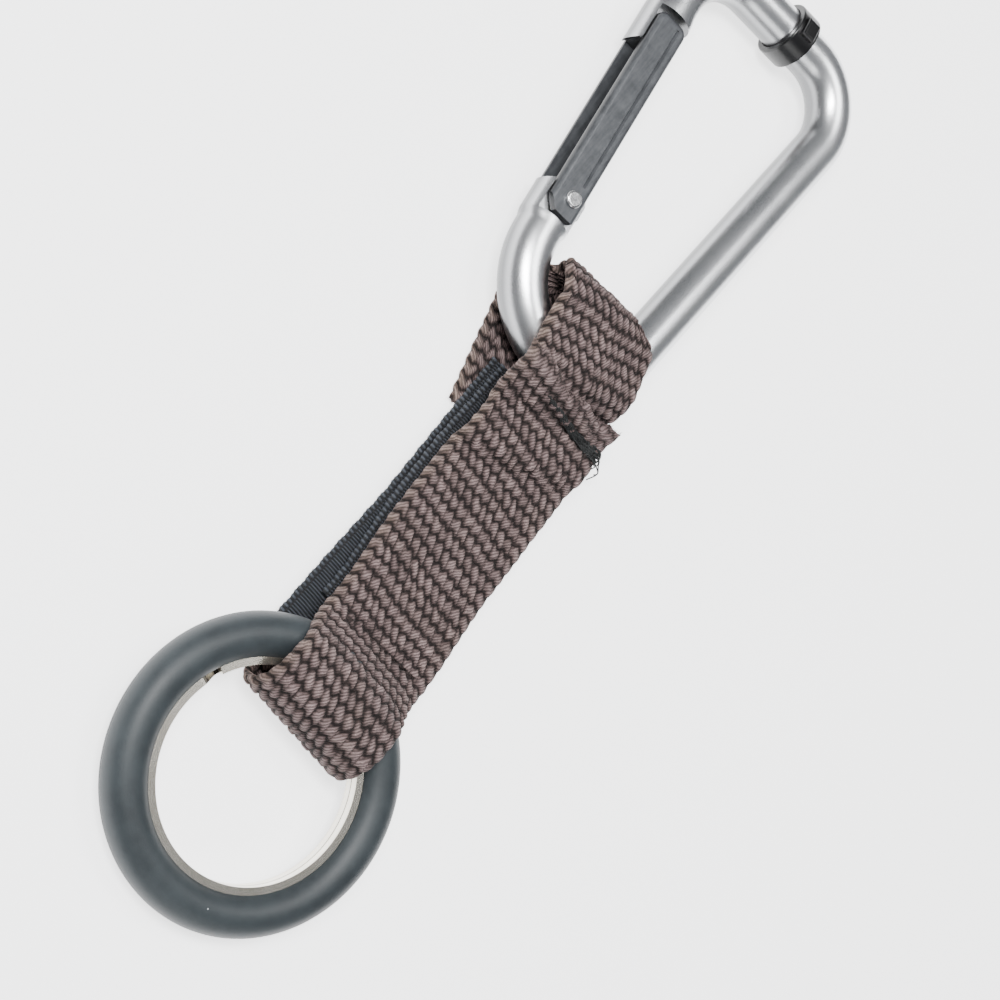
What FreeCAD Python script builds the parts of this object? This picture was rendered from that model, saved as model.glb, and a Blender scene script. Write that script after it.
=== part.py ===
import FreeCAD, Part
import math
import os
from FreeCAD import Vector as V

# Key organiser: a webbing strap with a snap carabiner at one end and a rubber
# covered split ring at the other, lying flat.
# Frame: +Z up, +Y along the strap from the ring to the carabiner, +X to the
# strap's right. Z = 0 is the surface the organiser rests on. Units: mm.

# ---------------------------------------------------------------- dimensions
ORIGIN_SHIFT = (5.371, -7.506)     # moves the plan centre of the whole part to X = Y = 0

WEB_W = 20.0                      # webbing width
WEB_T = 1.7                       # webbing thickness
TAPE_W = 20.0                     # ribbed backing tape width
TAPE_T = 0.7                      # ribbed backing tape thickness
LAY = 0.05                        # air between layers that are sewn together

RING_C = (0.0, -56.2)             # centre of the ring in plan
RING_R = 18.8                     # centre radius of the rubber tube
TUBE_R = 3.2                      # radius of the rubber tube
WIRE_RI, WIRE_RO = 14.9, 16.6     # split ring, inner and outer radius
WIRE_T = 1.38                     # height of one coil of the split ring
WIRE_GAP = 0.10                   # gap between its two coils
FIT = 0.08                        # running clearance of the ring in its cover
RING_Z = WEB_T + LAY + TAPE_T + 0.25 + TUBE_R   # tube centre inside the strap

ROD_R = 3.7                       # carabiner rod radius
BAR_Z = WEB_T + 0.24 + ROD_R      # rod centre height where the strap holds it
BAND_T = 0.9                      # tag band thickness
BAND_W = 4.0                      # tag band width
BAND_GAP = 0.15                   # its clearance on the rod

ARC1_R, ARC1_C = 13.25, (-8.40, 31.45)   # lower left bend of the frame
ARC2_R, ARC2_C = 11.45, (-8.40, 29.65)   # lower right bend
SPINE_LEAN = 2.3                  # degrees to the right of +Y
GATE_LEAN = 9.4                   # degrees to the left of +Y
ARC3_R = 9.5                      # upper right bend
ARC4_R = 10.5                     # upper left bend
TOP_LEAN = 11.5                   # fall of the top bar towards the nose, degrees
TOP_POINT = (-7.2, 88.9)          # a point on the top bar's axis

END_N = 4.1                       # half width of the frame's two milled ends
GATE_IN, GATE_OUT = -3.1, 2.8     # gate channel across its axis, inner and outer side
GATE_HALF = 3.15                  # half height of the gate channel
GATE_WALL = 1.2                   # its wall thickness
GATE_LO, GATE_HI = -3.2, 34.4     # ends of the gate along its axis, from the rivet
WEB_LO = 5.6                      # where the gate's inner wall starts
PLATE_HALF = 1.7                  # half thickness of tang and nose tongue
SHOULDER_LO, SHOULDER_HI = -4.3, 35.0
LIP_N = 3.1                       # inner face of the two outer lips
TANG_LIP_TOP = 1.2
NOSE_LIP_END = 27.6
RIVET_N = -0.75                   # rivet axis, across the gate axis
RIVET_R = 0.95
RIVET_HEAD_R = 1.35
GATE_OPEN = 28.0                  # opening angle, degrees

LOOP_AT = (-0.5, 13.5)            # bartack centre, where the carabiner loop turns off
LOOP_LEAN = 17.0                  # the loop leans left by this much
COIL_R, COIL_WIRE = 1.25, 0.35    # gate spring


# ------------------------------------------------------------------- helpers
def rot2(x, y, deg):
    a = math.radians(deg)
    return x * math.cos(a) - y * math.sin(a), x * math.sin(a) + y * math.cos(a)


def fillet_path(points, radii):
    """Straight runs joined by tangent arcs, as ('line', a, b) and ('arc', c, r, a0, a1)."""
    out = []
    cur = points[0]
    for i in range(1, len(points) - 1):
        p0, p1, p2 = points[i - 1], points[i], points[i + 1]
        d1 = (p1[0] - p0[0], p1[1] - p0[1])
        d2 = (p2[0] - p1[0], p2[1] - p1[1])
        l1, l2 = math.hypot(*d1), math.hypot(*d2)
        d1 = (d1[0] / l1, d1[1] / l1)
        d2 = (d2[0] / l2, d2[1] / l2)
        cr = d1[0] * d2[1] - d1[1] * d2[0]
        turn = math.atan2(cr, d1[0] * d2[0] + d1[1] * d2[1])
        r = radii[i - 1]
        t = r * math.tan(abs(turn) / 2)
        a = (p1[0] - d1[0] * t, p1[1] - d1[1] * t)
        b = (p1[0] + d2[0] * t, p1[1] + d2[1] * t)
        s = 1 if turn > 0 else -1
        c = (a[0] - d1[1] * r * s, a[1] + d1[0] * r * s)
        a0 = math.atan2(a[1] - c[1], a[0] - c[0])
        out.append(("line", cur, a))
        out.append(("arc", c, r, a0, a0 + turn, s))
        cur = b
    out.append(("line", cur, points[-1]))
    return out


def offset_edges(path, d, put):
    """The path moved d to its left, as edges; put maps (u, v) to a 3-D point."""
    edges, first, last = [], None, None
    for p in path:
        if p[0] == "line":
            a, b = p[1], p[2]
            length = math.hypot(b[0] - a[0], b[1] - a[1])
            n = (-(b[1] - a[1]) / length * d, (b[0] - a[0]) / length * d)
            u, v = (a[0] + n[0], a[1] + n[1]), (b[0] + n[0], b[1] + n[1])
            edges.append(Part.makeLine(put(*u), put(*v)))
        else:
            _, c, r, a0, a1, s = p
            rr = r - d * s
            pts = [
                (c[0] + rr * math.cos(a0 + (a1 - a0) * k), c[1] + rr * math.sin(a0 + (a1 - a0) * k))
                for k in (0, 0.5, 1)
            ]
            edges.append(Part.Arc(*[put(*q) for q in pts]).toShape())
            u, v = pts[0], pts[2]
        first = first or u
        last = v
    return edges, first, last


def strip(points, radii, thick, x0, x1):
    """A band of webbing: its (Y, Z) path thickened and run from X = x0 to x1."""
    path = fillet_path(points, radii)
    put = lambda a, b: V(x0, a, b)
    left, l0, l1 = offset_edges(path, thick / 2, put)
    right, r0, r1 = offset_edges(path, -thick / 2, put)
    caps = [Part.makeLine(put(*l1), put(*r1)), Part.makeLine(put(*r0), put(*l0))]
    wire = Part.Wire(Part.__sortEdges__(left + right + caps))
    return Part.Face(wire).extrude(V(x1 - x0, 0, 0))


def block(x0, x1, y0, y1, z0, z1):
    return Part.makeBox(x1 - x0, y1 - y0, z1 - z0, V(x0, y0, z0))


def prism(points, z0, z1):
    w = Part.makePolygon([V(x, y, z0) for x, y in points] + [V(points[0][0], points[0][1], z0)])
    return Part.Face(w).extrude(V(0, 0, z1 - z0))


def round_edges(shape, radius, pick):
    edges = [e for e in shape.Edges if pick(e)]
    return shape.makeFillet(radius, edges) if edges else shape


# -------------------------------------------------------------- carabiner
# Gate frame: origin on the rod's axis line beside the rivet, first axis inwards
# (towards the spine), second along the gate to the nose, Z up.
GU = rot2(0, 1, GATE_LEAN)                       # along the gate
GN = (-GU[1], GU[0])                             # outwards
tang_pt = (
    ARC1_C[0] + ARC1_R * GN[0],
    ARC1_C[1] + ARC1_R * GN[1],
)
RIVET_ALONG = 6.3                                # rivet level above the lower left bend
g0 = (tang_pt[0] + GU[0] * RIVET_ALONG, tang_pt[1] + GU[1] * RIVET_ALONG)


def from_gate(shape):
    """Places a shape drawn with X = inwards, Y = along the gate, Z up, about the rod axis."""
    m = FreeCAD.Matrix(
        -GN[0], GU[0], 0, g0[0],
        -GN[1], GU[1], 0, g0[1],
        0, 0, 1, BAR_Z,
        0, 0, 0, 1,
    )
    s = shape.copy()
    s.transformShape(m, True)
    return s


# tilt of the carabiner: its bottom lies on the strap's tail, its top on the band
top_dir = (-math.cos(math.radians(TOP_LEAN)), -math.sin(math.radians(TOP_LEAN)))
BAND_AT = (-11.0, TOP_POINT[1] + (-11.0 - TOP_POINT[0]) * math.tan(math.radians(TOP_LEAN)))
BAR_Y = ARC1_C[1] - ARC1_R
CARAB_TILT = -math.degrees(
    math.asin((BAR_Z - (BAND_T + BAND_GAP + ROD_R)) / (BAND_AT[1] - BAR_Y))
)


def tilt_carabiner(shape):
    s = shape.copy()
    s.rotate(V(0, BAR_Y, BAR_Z), V(1, 0, 0), CARAB_TILT)
    return s


# rod axis: tang, lower bends, spine, upper bends, nose
spine_dir = rot2(0, 1, -SPINE_LEAN)
right = (spine_dir[1], -spine_dir[0])
spine_a = (ARC2_C[0] + ARC2_R * right[0], ARC2_C[1] + ARC2_R * right[1])


def cross_point(p, d, q, e):
    k = ((q[0] - p[0]) * e[1] - (q[1] - p[1]) * e[0]) / (d[0] * e[1] - d[1] * e[0])
    return p[0] + d[0] * k, p[1] + d[1] * k


corner_r = cross_point(spine_a, spine_dir, TOP_POINT, top_dir)
corner_l = cross_point(TOP_POINT, top_dir, g0, GU)
NOSE_FLARE = 38.0                                # level where the rod starts to widen to the nose
nose_end = (g0[0] + GU[0] * NOSE_FLARE, g0[1] + GU[1] * NOSE_FLARE)
tang_lo = (tang_pt[0] + GU[0] * 0.6, tang_pt[1] + GU[1] * 0.6)


def rod_line(a, b):
    d = V(b[0] - a[0], b[1] - a[1], 0)
    return Part.makeCylinder(ROD_R, d.Length, V(a[0], a[1], BAR_Z), d)


def rod_bend(c, r, a0, a1):
    """A bend of the rod about the plan centre c, from angle a0 to a1 in radians."""
    f = Part.Face(Part.Wire(Part.makeCircle(ROD_R, V(r, 0, 0), V(0, 1, 0))))
    f.rotate(V(0, 0, 0), V(0, 0, 1), math.degrees(min(a0, a1)))
    b = f.revolve(V(0, 0, 0), V(0, 0, 1), math.degrees(abs(a1 - a0)))
    b.translate(V(c[0], c[1], BAR_Z))
    return b


start_a = math.atan2(GN[1], GN[0]) % (2 * math.pi)
end_a = math.atan2(right[1], right[0]) + 2 * math.pi
rod_parts = [
    rod_line(tang_lo, tang_pt),
    rod_bend(ARC1_C, ARC1_R, start_a, 1.5 * math.pi),
    rod_bend(ARC2_C, ARC2_R, 1.5 * math.pi, end_a),
]
for p in fillet_path([spine_a, corner_r, corner_l, nose_end], [ARC3_R, ARC4_R]):
    rod_parts.append(rod_line(p[1], p[2]) if p[0] == "line" else rod_bend(p[1], p[2], p[3], p[4]))
rod = rod_parts[0]
for p in rod_parts[1:]:
    rod = rod.fuse(p)


def oval(y, half_n):
    """Section of a milled end in gate coordinates at the level y."""
    if abs(half_n - ROD_R) < 1e-9:
        c = Part.makeCircle(ROD_R, V(0, y, 0), V(0, 1, 0))
        return Part.Wire(c)
    e = Part.Ellipse(V(0, y, 0), half_n, ROD_R)
    e.Axis = V(0, 1, 0)
    e.XAxis = V(1, 0, 0)
    return Part.Wire(e.toShape())


def oval_bar(y0, y1, half_n):
    e = Part.Ellipse(V(0, 0, 0), half_n, ROD_R).toShape()
    s = Part.Face(Part.Wire(e)).extrude(V(0, 0, y1 - y0))
    s.rotate(V(0, 0, 0), V(1, 0, 0), 90)          # along -Y
    s.translate(V(0, y1, 0))
    return s


def flare(y0, n0, y1, n1, steps=10):
    """Smooth change of the rod's half width from n0 at y0 to n1 at y1."""
    wires = []
    for k in range(steps + 1):
        t = k / steps
        w = n0 + (n1 - n0) * (3 * t * t - 2 * t * t * t)
        e = Part.makeCircle(ROD_R) if w - ROD_R < 1e-6 else Part.Ellipse(V(0, 0, 0), w, ROD_R).toShape()
        wr = Part.Wire(e)
        wr.rotate(V(0, 0, 0), V(1, 0, 0), 90)
        wr.translate(V(0, y0 + (y1 - y0) * t, 0))
        wires.append(wr)
    return Part.makeLoft(wires, True, False)


# tang: flared end, milled to a plate on both faces, with an outer lip
tang = oval_bar(SHOULDER_LO, TANG_LIP_TOP, END_N)
tang_flare = flare(-RIVET_ALONG + 0.6, ROD_R, SHOULDER_LO, END_N)
tang_round = Part.makeCylinder(3.35, 2 * PLATE_HALF, V(-RIVET_N, 0, -PLATE_HALF))
cam_pts = []
for k in range(0, 25):                            # cam that the plunger rides on
    phi = math.radians(10 + k * 2.2)
    r = 3.35 + 0.55 * max(0.0, math.sin(math.radians(k * 7.5))) if k < 24 else 3.35
    cam_pts.append((-RIVET_N + r * math.sin(phi), r * math.cos(phi)))
plate_zone = block(-END_N, END_N, SHOULDER_LO, 0.0, -PLATE_HALF, PLATE_HALF)
plate = plate_zone.common(oval_bar(SHOULDER_LO, 6, END_N)).fuse(
    tang_round.common(oval_bar(-4, 8, END_N + 0.3))
)
for zs in (-1, 1):
    z0, z1 = (PLATE_HALF, 6) if zs > 0 else (-6, -PLATE_HALF)
    tang = tang.cut(block(-LIP_N, 6, SHOULDER_LO, 4, z0, z1))
tang = tang.cut(block(-LIP_N, 6, 0.0, 4, -6, 6))
# the lip's tip is cut on a slope, highest on its inner side
tang = tang.cut(
    Part.Face(
        Part.makePolygon([V(-END_N - 1, 0.1, -6), V(-LIP_N, TANG_LIP_TOP, -6), V(-END_N - 1, TANG_LIP_TOP + 1, -6), V(-END_N - 1, 0.1, -6)])
    ).extrude(V(0, 0, 12))
)
tang = tang.fuse(plate)

# nose: flared end with a tongue inside the gate and a lip outside it
nose = oval_bar(NOSE_LIP_END, SHOULDER_HI + 0.5, END_N)
nose_flare = flare(SHOULDER_HI + 0.5, END_N, NOSE_FLARE, ROD_R)
for z0, z1 in ((PLATE_HALF, 6), (-6, -PLATE_HALF)):
    nose = nose.cut(block(-LIP_N, 6, NOSE_LIP_END - 1, SHOULDER_HI, z0, z1))
nose = nose.cut(block(1.5, 6, NOSE_LIP_END - 1, SHOULDER_HI, -6, 6))
nose = nose.cut(
    Part.Face(
        Part.makePolygon(
            [V(-END_N - 1, NOSE_LIP_END - 2, -6), V(6, NOSE_LIP_END - 2, -6), V(6, NOSE_LIP_END + 0.9, -6),
             V(-LIP_N, NOSE_LIP_END + 0.9, -6), V(-END_N - 1, NOSE_LIP_END - 0.7, -6), V(-END_N - 1, NOSE_LIP_END - 2, -6)]
        )
    ).extrude(V(0, 0, 12))
)

frame = rod
for p in (tang_flare, tang, nose_flare, nose):
    frame = frame.fuse(from_gate(p))
rivet_hole = Part.makeCylinder(RIVET_R, 2 * PLATE_HALF + 2, V(-RIVET_N, 0, -PLATE_HALF - 1))
frame = frame.cut(from_gate(rivet_hole))
# the frame's own end of the rod is trimmed where the ears of the gate turn
ear_room = block(-LIP_N, 6, SHOULDER_LO, 8, PLATE_HALF, 6).fuse(block(-LIP_N, 6, SHOULDER_LO, 8, -6, -PLATE_HALF))
frame = frame.cut(from_gate(ear_room))
frame = frame.Solids[0] if len(frame.Solids) == 1 else frame

# gate: channel, open to the outside
ridge = 0.55                                       # lengthwise groove on the upper flange
gate = block(-GATE_OUT, -GATE_IN, GATE_LO, GATE_HI, -GATE_HALF, GATE_HALF)
gate = round_edges(
    gate, 1.6,
    lambda e: abs(e.Vertexes[0].Y - e.Vertexes[1].Y) < 1e-6
    and abs(e.Vertexes[0].X - e.Vertexes[1].X) < 1e-6
    and e.Vertexes[0].Y > GATE_HI - 0.1,
)
# long inner edges rounded, long outer edges broken
gate = round_edges(
    gate, 0.9,
    lambda e: len(e.Vertexes) == 2 and abs(e.Vertexes[0].Y - e.Vertexes[1].Y) > 20 and e.Vertexes[0].X > 0,
)
inner_half = GATE_HALF - GATE_WALL
gate = gate.cut(block(-GATE_OUT - 1, -GATE_IN - GATE_WALL, GATE_LO - 1, GATE_HI + 1, -inner_half, inner_half))
gate = gate.cut(block(-GATE_OUT - 1, -GATE_IN + 1, GATE_LO - 1, WEB_LO, -inner_half, inner_half))
# lower outer corner of both ears
gate = gate.cut(prism([(-GATE_OUT - 0.1, GATE_LO - 0.1), (-0.9, GATE_LO - 0.1), (-0.9, GATE_LO), (-GATE_OUT, -1.2), (-GATE_OUT - 0.1, -1.2)], -5, 5))
gate = gate.cut(prism([(-GATE_IN + 0.1, GATE_LO - 0.1), (-GATE_IN - 0.6, GATE_LO - 0.1), (-GATE_IN + 0.1, GATE_LO + 0.6)], -5, 5))
# shallow groove that runs along each flange, outside the inner third
for s in (1, -1):
    v = Part.makePolygon([V(0.95, 0, s * (GATE_HALF + 0.05)), V(1.25, 0, s * (GATE_HALF - 0.22)), V(1.6, 0, s * (GATE_HALF + 0.05)), V(0.95, 0, s * (GATE_HALF + 0.05))])
    groove = Part.Face(v).extrude(V(0, GATE_HI - 1.2 - 2.6, 0))
    groove.translate(V(0, 2.6, 0))
    gate = gate.cut(groove)
gate = gate.cut(Part.makeCylinder(RIVET_R + 0.06, 12, V(-RIVET_N, 0, -6)))
# seat wall for the spring, between the flanges
SEAT_Y = 17.0
gate = gate.fuse(block(-1.0, -GATE_IN - GATE_WALL + 0.01, SEAT_Y, SEAT_Y + 1.2, -inner_half - 0.01, inner_half + 0.01))
gate = gate.removeSplitter()

# rivet: shank through tang and ears, with a low domed head each side
head_h = 0.5
shank = Part.makeCylinder(RIVET_R, 2 * (GATE_HALF + 0.05), V(-RIVET_N, 0, -GATE_HALF - 0.05))
head = Part.makeCylinder(RIVET_HEAD_R, head_h, V(-RIVET_N, 0, GATE_HALF + 0.05))
head = round_edges(head, 0.38, lambda e: e.BoundBox.ZMin > GATE_HALF + 0.05 + head_h - 1e-6 and e.Closed)
head2 = head.mirror(V(0, 0, 0), V(0, 0, 1))
rivet = shank.fuse([head, head2]).removeSplitter()

# plunger and spring inside the channel
PL_X = 0.45                                        # plunger axis, inside the channel
PL_TIP = 3.6
plunger = Part.makeCylinder(0.75, 9.0 - PL_TIP - 0.75, V(PL_X, PL_TIP + 0.75, 0), V(0, 1, 0))
plunger = plunger.fuse([Part.makeSphere(0.75, V(PL_X, PL_TIP + 0.75, 0)), Part.makeCylinder(1.4, 0.8, V(PL_X, 6.6, 0), V(0, 1, 0))])
plunger = plunger.removeSplitter()
SPRING_A, SPRING_B = 7.5, SEAT_Y - 0.05
coil_h = SPRING_B - SPRING_A - COIL_WIRE
helix = Part.makeHelix(coil_h / 7.0, coil_h, COIL_R)
helix.rotate(V(0, 0, 0), V(1, 0, 0), -90)
helix.translate(V(PL_X, SPRING_A + COIL_WIRE / 2, 0))
h0 = helix.Edges[0].valueAt(helix.Edges[0].FirstParameter)
t0 = helix.Edges[0].tangentAt(helix.Edges[0].FirstParameter)
spring = Part.Wire(helix.Edges).makePipeShell([Part.Wire(Part.makeCircle(COIL_WIRE / 2, h0, t0))], True, True)

# tag band round the top bar, with its small latch on top
band = Part.makeCylinder(ROD_R + BAND_GAP + BAND_T, BAND_W, V(0, 0, -BAND_W / 2))
band = round_edges(band, 0.3, lambda e: e.Closed)
band = band.cut(Part.makeCylinder(ROD_R + BAND_GAP, BAND_W + 2, V(0, 0, -BAND_W / 2 - 1)))
latch = block(-1.5, 1.5, ROD_R + BAND_GAP + 0.4, ROD_R + BAND_GAP + BAND_T + 0.7, -1.2, 1.2)
latch = round_edges(latch, 0.35, lambda e: e.BoundBox.YMin > ROD_R + BAND_GAP + BAND_T + 0.69)
band = band.fuse(latch).removeSplitter()
band.rotate(V(0, 0, 0), V(1, 0, 0), 90)           # axis along Y, latch up
band.rotate(V(0, 0, 0), V(0, 0, 1), 90 + TOP_LEAN)
band.translate(V(BAND_AT[0], BAND_AT[1], BAR_Z))

# ----------------------------------------------------------------- ring
def groove_ring():
    t = Part.makeTorus(RING_R, TUBE_R)
    h = WIRE_T + WIRE_GAP / 2 + FIT
    g = Part.makeCylinder(WIRE_RO + FIT, 2 * h, V(0, 0, -h))
    return t.cut(g)


cover = groove_ring()
JOG_AT, JOG_SPAN = 158.0, 11.0


def wire_arc(a0, a1, z0):
    w = Part.makePolygon(
        [V(WIRE_RI, 0, z0), V(WIRE_RO, 0, z0), V(WIRE_RO, 0, z0 + WIRE_T), V(WIRE_RI, 0, z0 + WIRE_T), V(WIRE_RI, 0, z0)]
    )
    f = Part.Face(w)
    f.rotate(V(0, 0, 0), V(0, 0, 1), a0)
    s = f.revolve(V(0, 0, 0), V(0, 0, 1), a1 - a0)
    return s


low = wire_arc(JOG_AT + JOG_SPAN + 0.6 - 360 + 360, JOG_AT + 360.0, -WIRE_T - WIRE_GAP / 2)
high = wire_arc(JOG_AT + JOG_SPAN, JOG_AT + 360.0 - 0.6, WIRE_GAP / 2)
jog_wires = []
for k in range(9):
    t = k / 8
    s = 3 * t * t - 2 * t * t * t
    z0 = (-WIRE_T - WIRE_GAP / 2) + s * (WIRE_T + WIRE_GAP)
    w = Part.makePolygon(
        [V(WIRE_RI, 0, z0), V(WIRE_RO, 0, z0), V(WIRE_RO, 0, z0 + WIRE_T), V(WIRE_RI, 0, z0 + WIRE_T), V(WIRE_RI, 0, z0)]
    )
    w.rotate(V(0, 0, 0), V(0, 0, 1), JOG_AT + JOG_SPAN * t)
    jog_wires.append(w)
jog = Part.makeLoft(jog_wires, True, True)
split = low.fuse([jog, high]).removeSplitter()

RING_TILT = math.degrees(math.asin((RING_Z - TUBE_R) / RING_R / 2.0))
TUBE_Y = RING_C[1] + RING_R                        # tube centre inside the strap


def place_ring(shape):
    s = shape.copy()
    s.translate(V(RING_C[0], RING_C[1], RING_Z))
    s.rotate(V(0, TUBE_Y, RING_Z), V(1, 0, 0), RING_TILT)
    return s


# ---------------------------------------------------------------- webbing
z_rear = WEB_T / 2
z_tape_lo = WEB_T + LAY + TAPE_T / 2
z_tape_hi = WEB_T + 2 * LAY + 1.5 * TAPE_T
z_front = WEB_T + 3 * LAY + 2 * TAPE_T + WEB_T / 2
z_second = z_front + WEB_T + LAY                  # where two front layers lie on each other

# main strap: front layer, fold round the ring's tube, rear tail
fold_top = RING_Z + TUBE_R + 0.30 + WEB_T / 2
fold_c = (fold_top + z_rear) / 2
fold_r = (fold_top - z_rear) / 2
FOLD_Y = -42.9                                    # centre of the fold round the ring
main_path = [
    (-1.0, z_front), (-30.0, z_front), (-35.2, fold_top), (FOLD_Y - fold_r, fold_top),
    (FOLD_Y - fold_r, z_rear), (-27.0, z_rear),
]
main_flat = strip(main_path, [3.2, 3.0, fold_r - 0.001, fold_r - 0.001], WEB_T, -WEB_W / 2, WEB_W / 2)


def to_loop(shape):
    s = shape.copy()
    s.rotate(V(0, 0, 0), V(0, 0, 1), LOOP_LEAN)
    s.translate(V(LOOP_AT[0], LOOP_AT[1], 0))
    return s


over_bar = BAR_Z + ROD_R + 0.10 + WEB_T / 2
# flap of the main strap that climbs over the loop strap's end and the bar
flap_path = [(-20.0, z_front), (-11.4, z_front), (-9.2, z_second), (-2.5, z_second), (2.7, over_bar + WEB_T + LAY), (6.2, over_bar + WEB_T + LAY)]
flap = to_loop(strip(flap_path, [2.5, 2.5, 3.0, 2.6], WEB_T, -16, 16))
flap = flap.common(block(-WEB_W / 2, WEB_W / 2, -20, 40, 0, 20))
# the two parts meet on a line across the strap that is square to the loop
line_y = -14.0
keep = to_loop(block(-40, 40, line_y, 60, -1, 30))
main_strap = main_flat.cut(keep).fuse(flap.common(keep)).removeSplitter()

# loop strap: front layer under the flap, over the bar, through the carabiner, back under it.
# The fold twists, so that the rear layer lies REAR_SHIFT further left than the front.
loop_r = (over_bar - z_rear) / 2
LOOP_FOLD = 15.3
REAR_SHIFT = 4.6
loop_path = [
    (-8.4, z_front), (-1.6, z_front), (3.7, over_bar), (LOOP_FOLD + loop_r, over_bar),
    (LOOP_FOLD + loop_r, z_rear), (-12.4, z_rear),
]
loop_strap = strip(loop_path, [3.0, 2.6, loop_r - 0.001, loop_r - 0.001], WEB_T, -WEB_W / 2, WEB_W / 2)
twist = REAR_SHIFT / (over_bar - z_rear)
slant = FreeCAD.Matrix(1, 0, twist, -twist * over_bar, 0, 1, 0, 0, 0, 0, 1, 0, 0, 0, 0, 1)
front_half = loop_strap.common(block(-40, 40, -20, LOOP_FOLD, 3.0, 20))
rear_half = loop_strap.cut(block(-40, 40, -20, LOOP_FOLD, 3.0, 20)).transformGeometry(slant)
loop_strap = to_loop(front_half.fuse(rear_half))
# the fold is gathered between the spine and the frame's left leg
spine_in = spine_a[0] - ROD_R - 0.35
leg_in = ARC1_C[0] - ARC1_R + ROD_R + 0.30
LOW_GAP, HIGH_GAP = WEB_T + 0.02, BAR_Z + ROD_R + 0.08
loop_strap = loop_strap.cut(block(spine_in, 30, 18, 60, LOW_GAP, HIGH_GAP))
loop_strap = loop_strap.cut(block(-40, leg_in, 18, 60, LOW_GAP, HIGH_GAP))
leg_bend = Part.makeCylinder(ARC1_R + ROD_R + 1, HIGH_GAP - LOW_GAP, V(ARC1_C[0], ARC1_C[1], LOW_GAP))
leg_bend = leg_bend.cut(Part.makeCylinder(ARC1_R - ROD_R - 0.3, HIGH_GAP - LOW_GAP, V(ARC1_C[0], ARC1_C[1], LOW_GAP)))
loop_strap = loop_strap.cut(leg_bend.common(block(-40, ARC1_C[0] - 2, 10, ARC1_C[1], 0, 20)))

tape_lower = block(-12.1, -12.1 + TAPE_W, -38.8, 13.0, z_tape_lo - TAPE_T / 2, z_tape_lo + TAPE_T / 2)
tape_upper = block(-TAPE_W / 2, TAPE_W / 2, -31.0, 13.0, z_tape_hi - TAPE_T / 2, z_tape_hi + TAPE_T / 2)

# ---------------------------------------------------------------- threads
def capsule(p, q, r):
    d = V(*q) - V(*p)
    c = Part.makeCylinder(r, d.Length, V(*p), d)
    return c.fuse([Part.makeSphere(r, V(*p)), Part.makeSphere(r, V(*q))]).removeSplitter()


SEAM_Y = -28.3
seam = []
for k in range(6):
    x = -7.3 + k * 2.75
    seam.append(capsule((x, SEAM_Y, z_front + WEB_T / 2 + 0.29), (x + 1.9, SEAM_Y, z_front + WEB_T / 2 + 0.29), 0.24))
seam_thread = Part.makeCompound(seam)

flap_line = fillet_path(flap_path, [2.5, 2.5, 3.0, 2.6])


def flap_height(yl):
    """Height of the flap's upper face at the distance yl along the loop's axis."""
    best = z_second + WEB_T / 2
    for p in flap_line:
        if p[0] == "line" and abs(p[2][0] - p[1][0]) > 1e-6:
            a, b = p[1], p[2]
            if a[0] <= yl <= b[0]:
                sl = (b[1] - a[1]) / (b[0] - a[0])
                return a[1] + sl * (yl - a[0]) + WEB_T / 2 * math.hypot(1, sl)
        elif p[0] == "arc":
            _, c, r, a0, a1, s = p
            x0, x1 = c[0] + r * math.cos(a0), c[0] + r * math.cos(a1)
            if min(x0, x1) <= yl <= max(x0, x1):
                rr = r - WEB_T / 2 * s
                k = max(0.0, rr * rr - (yl - c[0]) ** 2)
                return c[1] - s * math.sqrt(k)
    return best


bar_stitches = []
for k in range(15):
    x = -4.9 + k * 1.0
    for y in (12.75, 13.55):
        xl, yl = rot2(x - LOOP_AT[0], y - LOOP_AT[1], -LOOP_LEAN)
        xr, yr = rot2(x - LOOP_AT[0], y + 0.5 - LOOP_AT[1], -LOOP_LEAN)
        za = max(flap_height(yl), flap_height(yr) - 0.2) + 0.40
        bar_stitches.append(capsule((x, y, za), (x + 0.45, y, za), 0.22))
bartack = Part.makeCompound(bar_stitches)

# ----------------------------------------------------------------- output
parts = {
    "carabiner_frame": tilt_carabiner(frame),
    "carabiner_gate": tilt_carabiner(from_gate(gate)),
    "gate_rivet": tilt_carabiner(from_gate(rivet)),
    "gate_spring": tilt_carabiner(from_gate(spring)),
    "spring_plunger": tilt_carabiner(from_gate(plunger)),
    "tag_band": tilt_carabiner(band),
    "rubber_ring_cover": place_ring(cover),
    "split_ring": place_ring(split),
    "main_strap": main_strap,
    "carabiner_loop_strap": loop_strap,
    "backing_tape_lower": tape_lower,
    "backing_tape_upper": tape_upper,
    "ring_seam_thread": seam_thread,
    "bartack_thread": bartack,
}
os.makedirs("parts", exist_ok=True)
box = None
for name, shape in parts.items():
    shape.translate(V(ORIGIN_SHIFT[0], ORIGIN_SHIFT[1], 0))
    shape.exportStep("parts/" + name + ".step")
    b = shape.optimalBoundingBox()
    box = b if box is None else box.united(b)
    print(
        "%-22s valid %s solids %d vol %.1f  x %.2f..%.2f y %.2f..%.2f z %.2f..%.2f"
        % (name, shape.isValid(), len(shape.Solids), shape.Volume, b.XMin, b.XMax, b.YMin, b.YMax, b.ZMin, b.ZMax)
    )
print("rod", rod.Volume, len(rod.Solids), [round(p.Volume) for p in rod_parts], "tang", tang.Volume, "nose", nose.Volume, "flares", tang_flare.Volume, nose_flare.Volume)
print("box", box)
print("centre", (box.XMin + box.XMax) / 2, (box.YMin + box.YMax) / 2)


def at(x, y, z):
    p = V(x, y, z)
    p = p + V(ORIGIN_SHIFT[0], ORIGIN_SHIFT[1], 0)
    return "[%.5f, %.5f, %.5f]" % (p.x / 1000, p.y / 1000, p.z / 1000)


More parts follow.
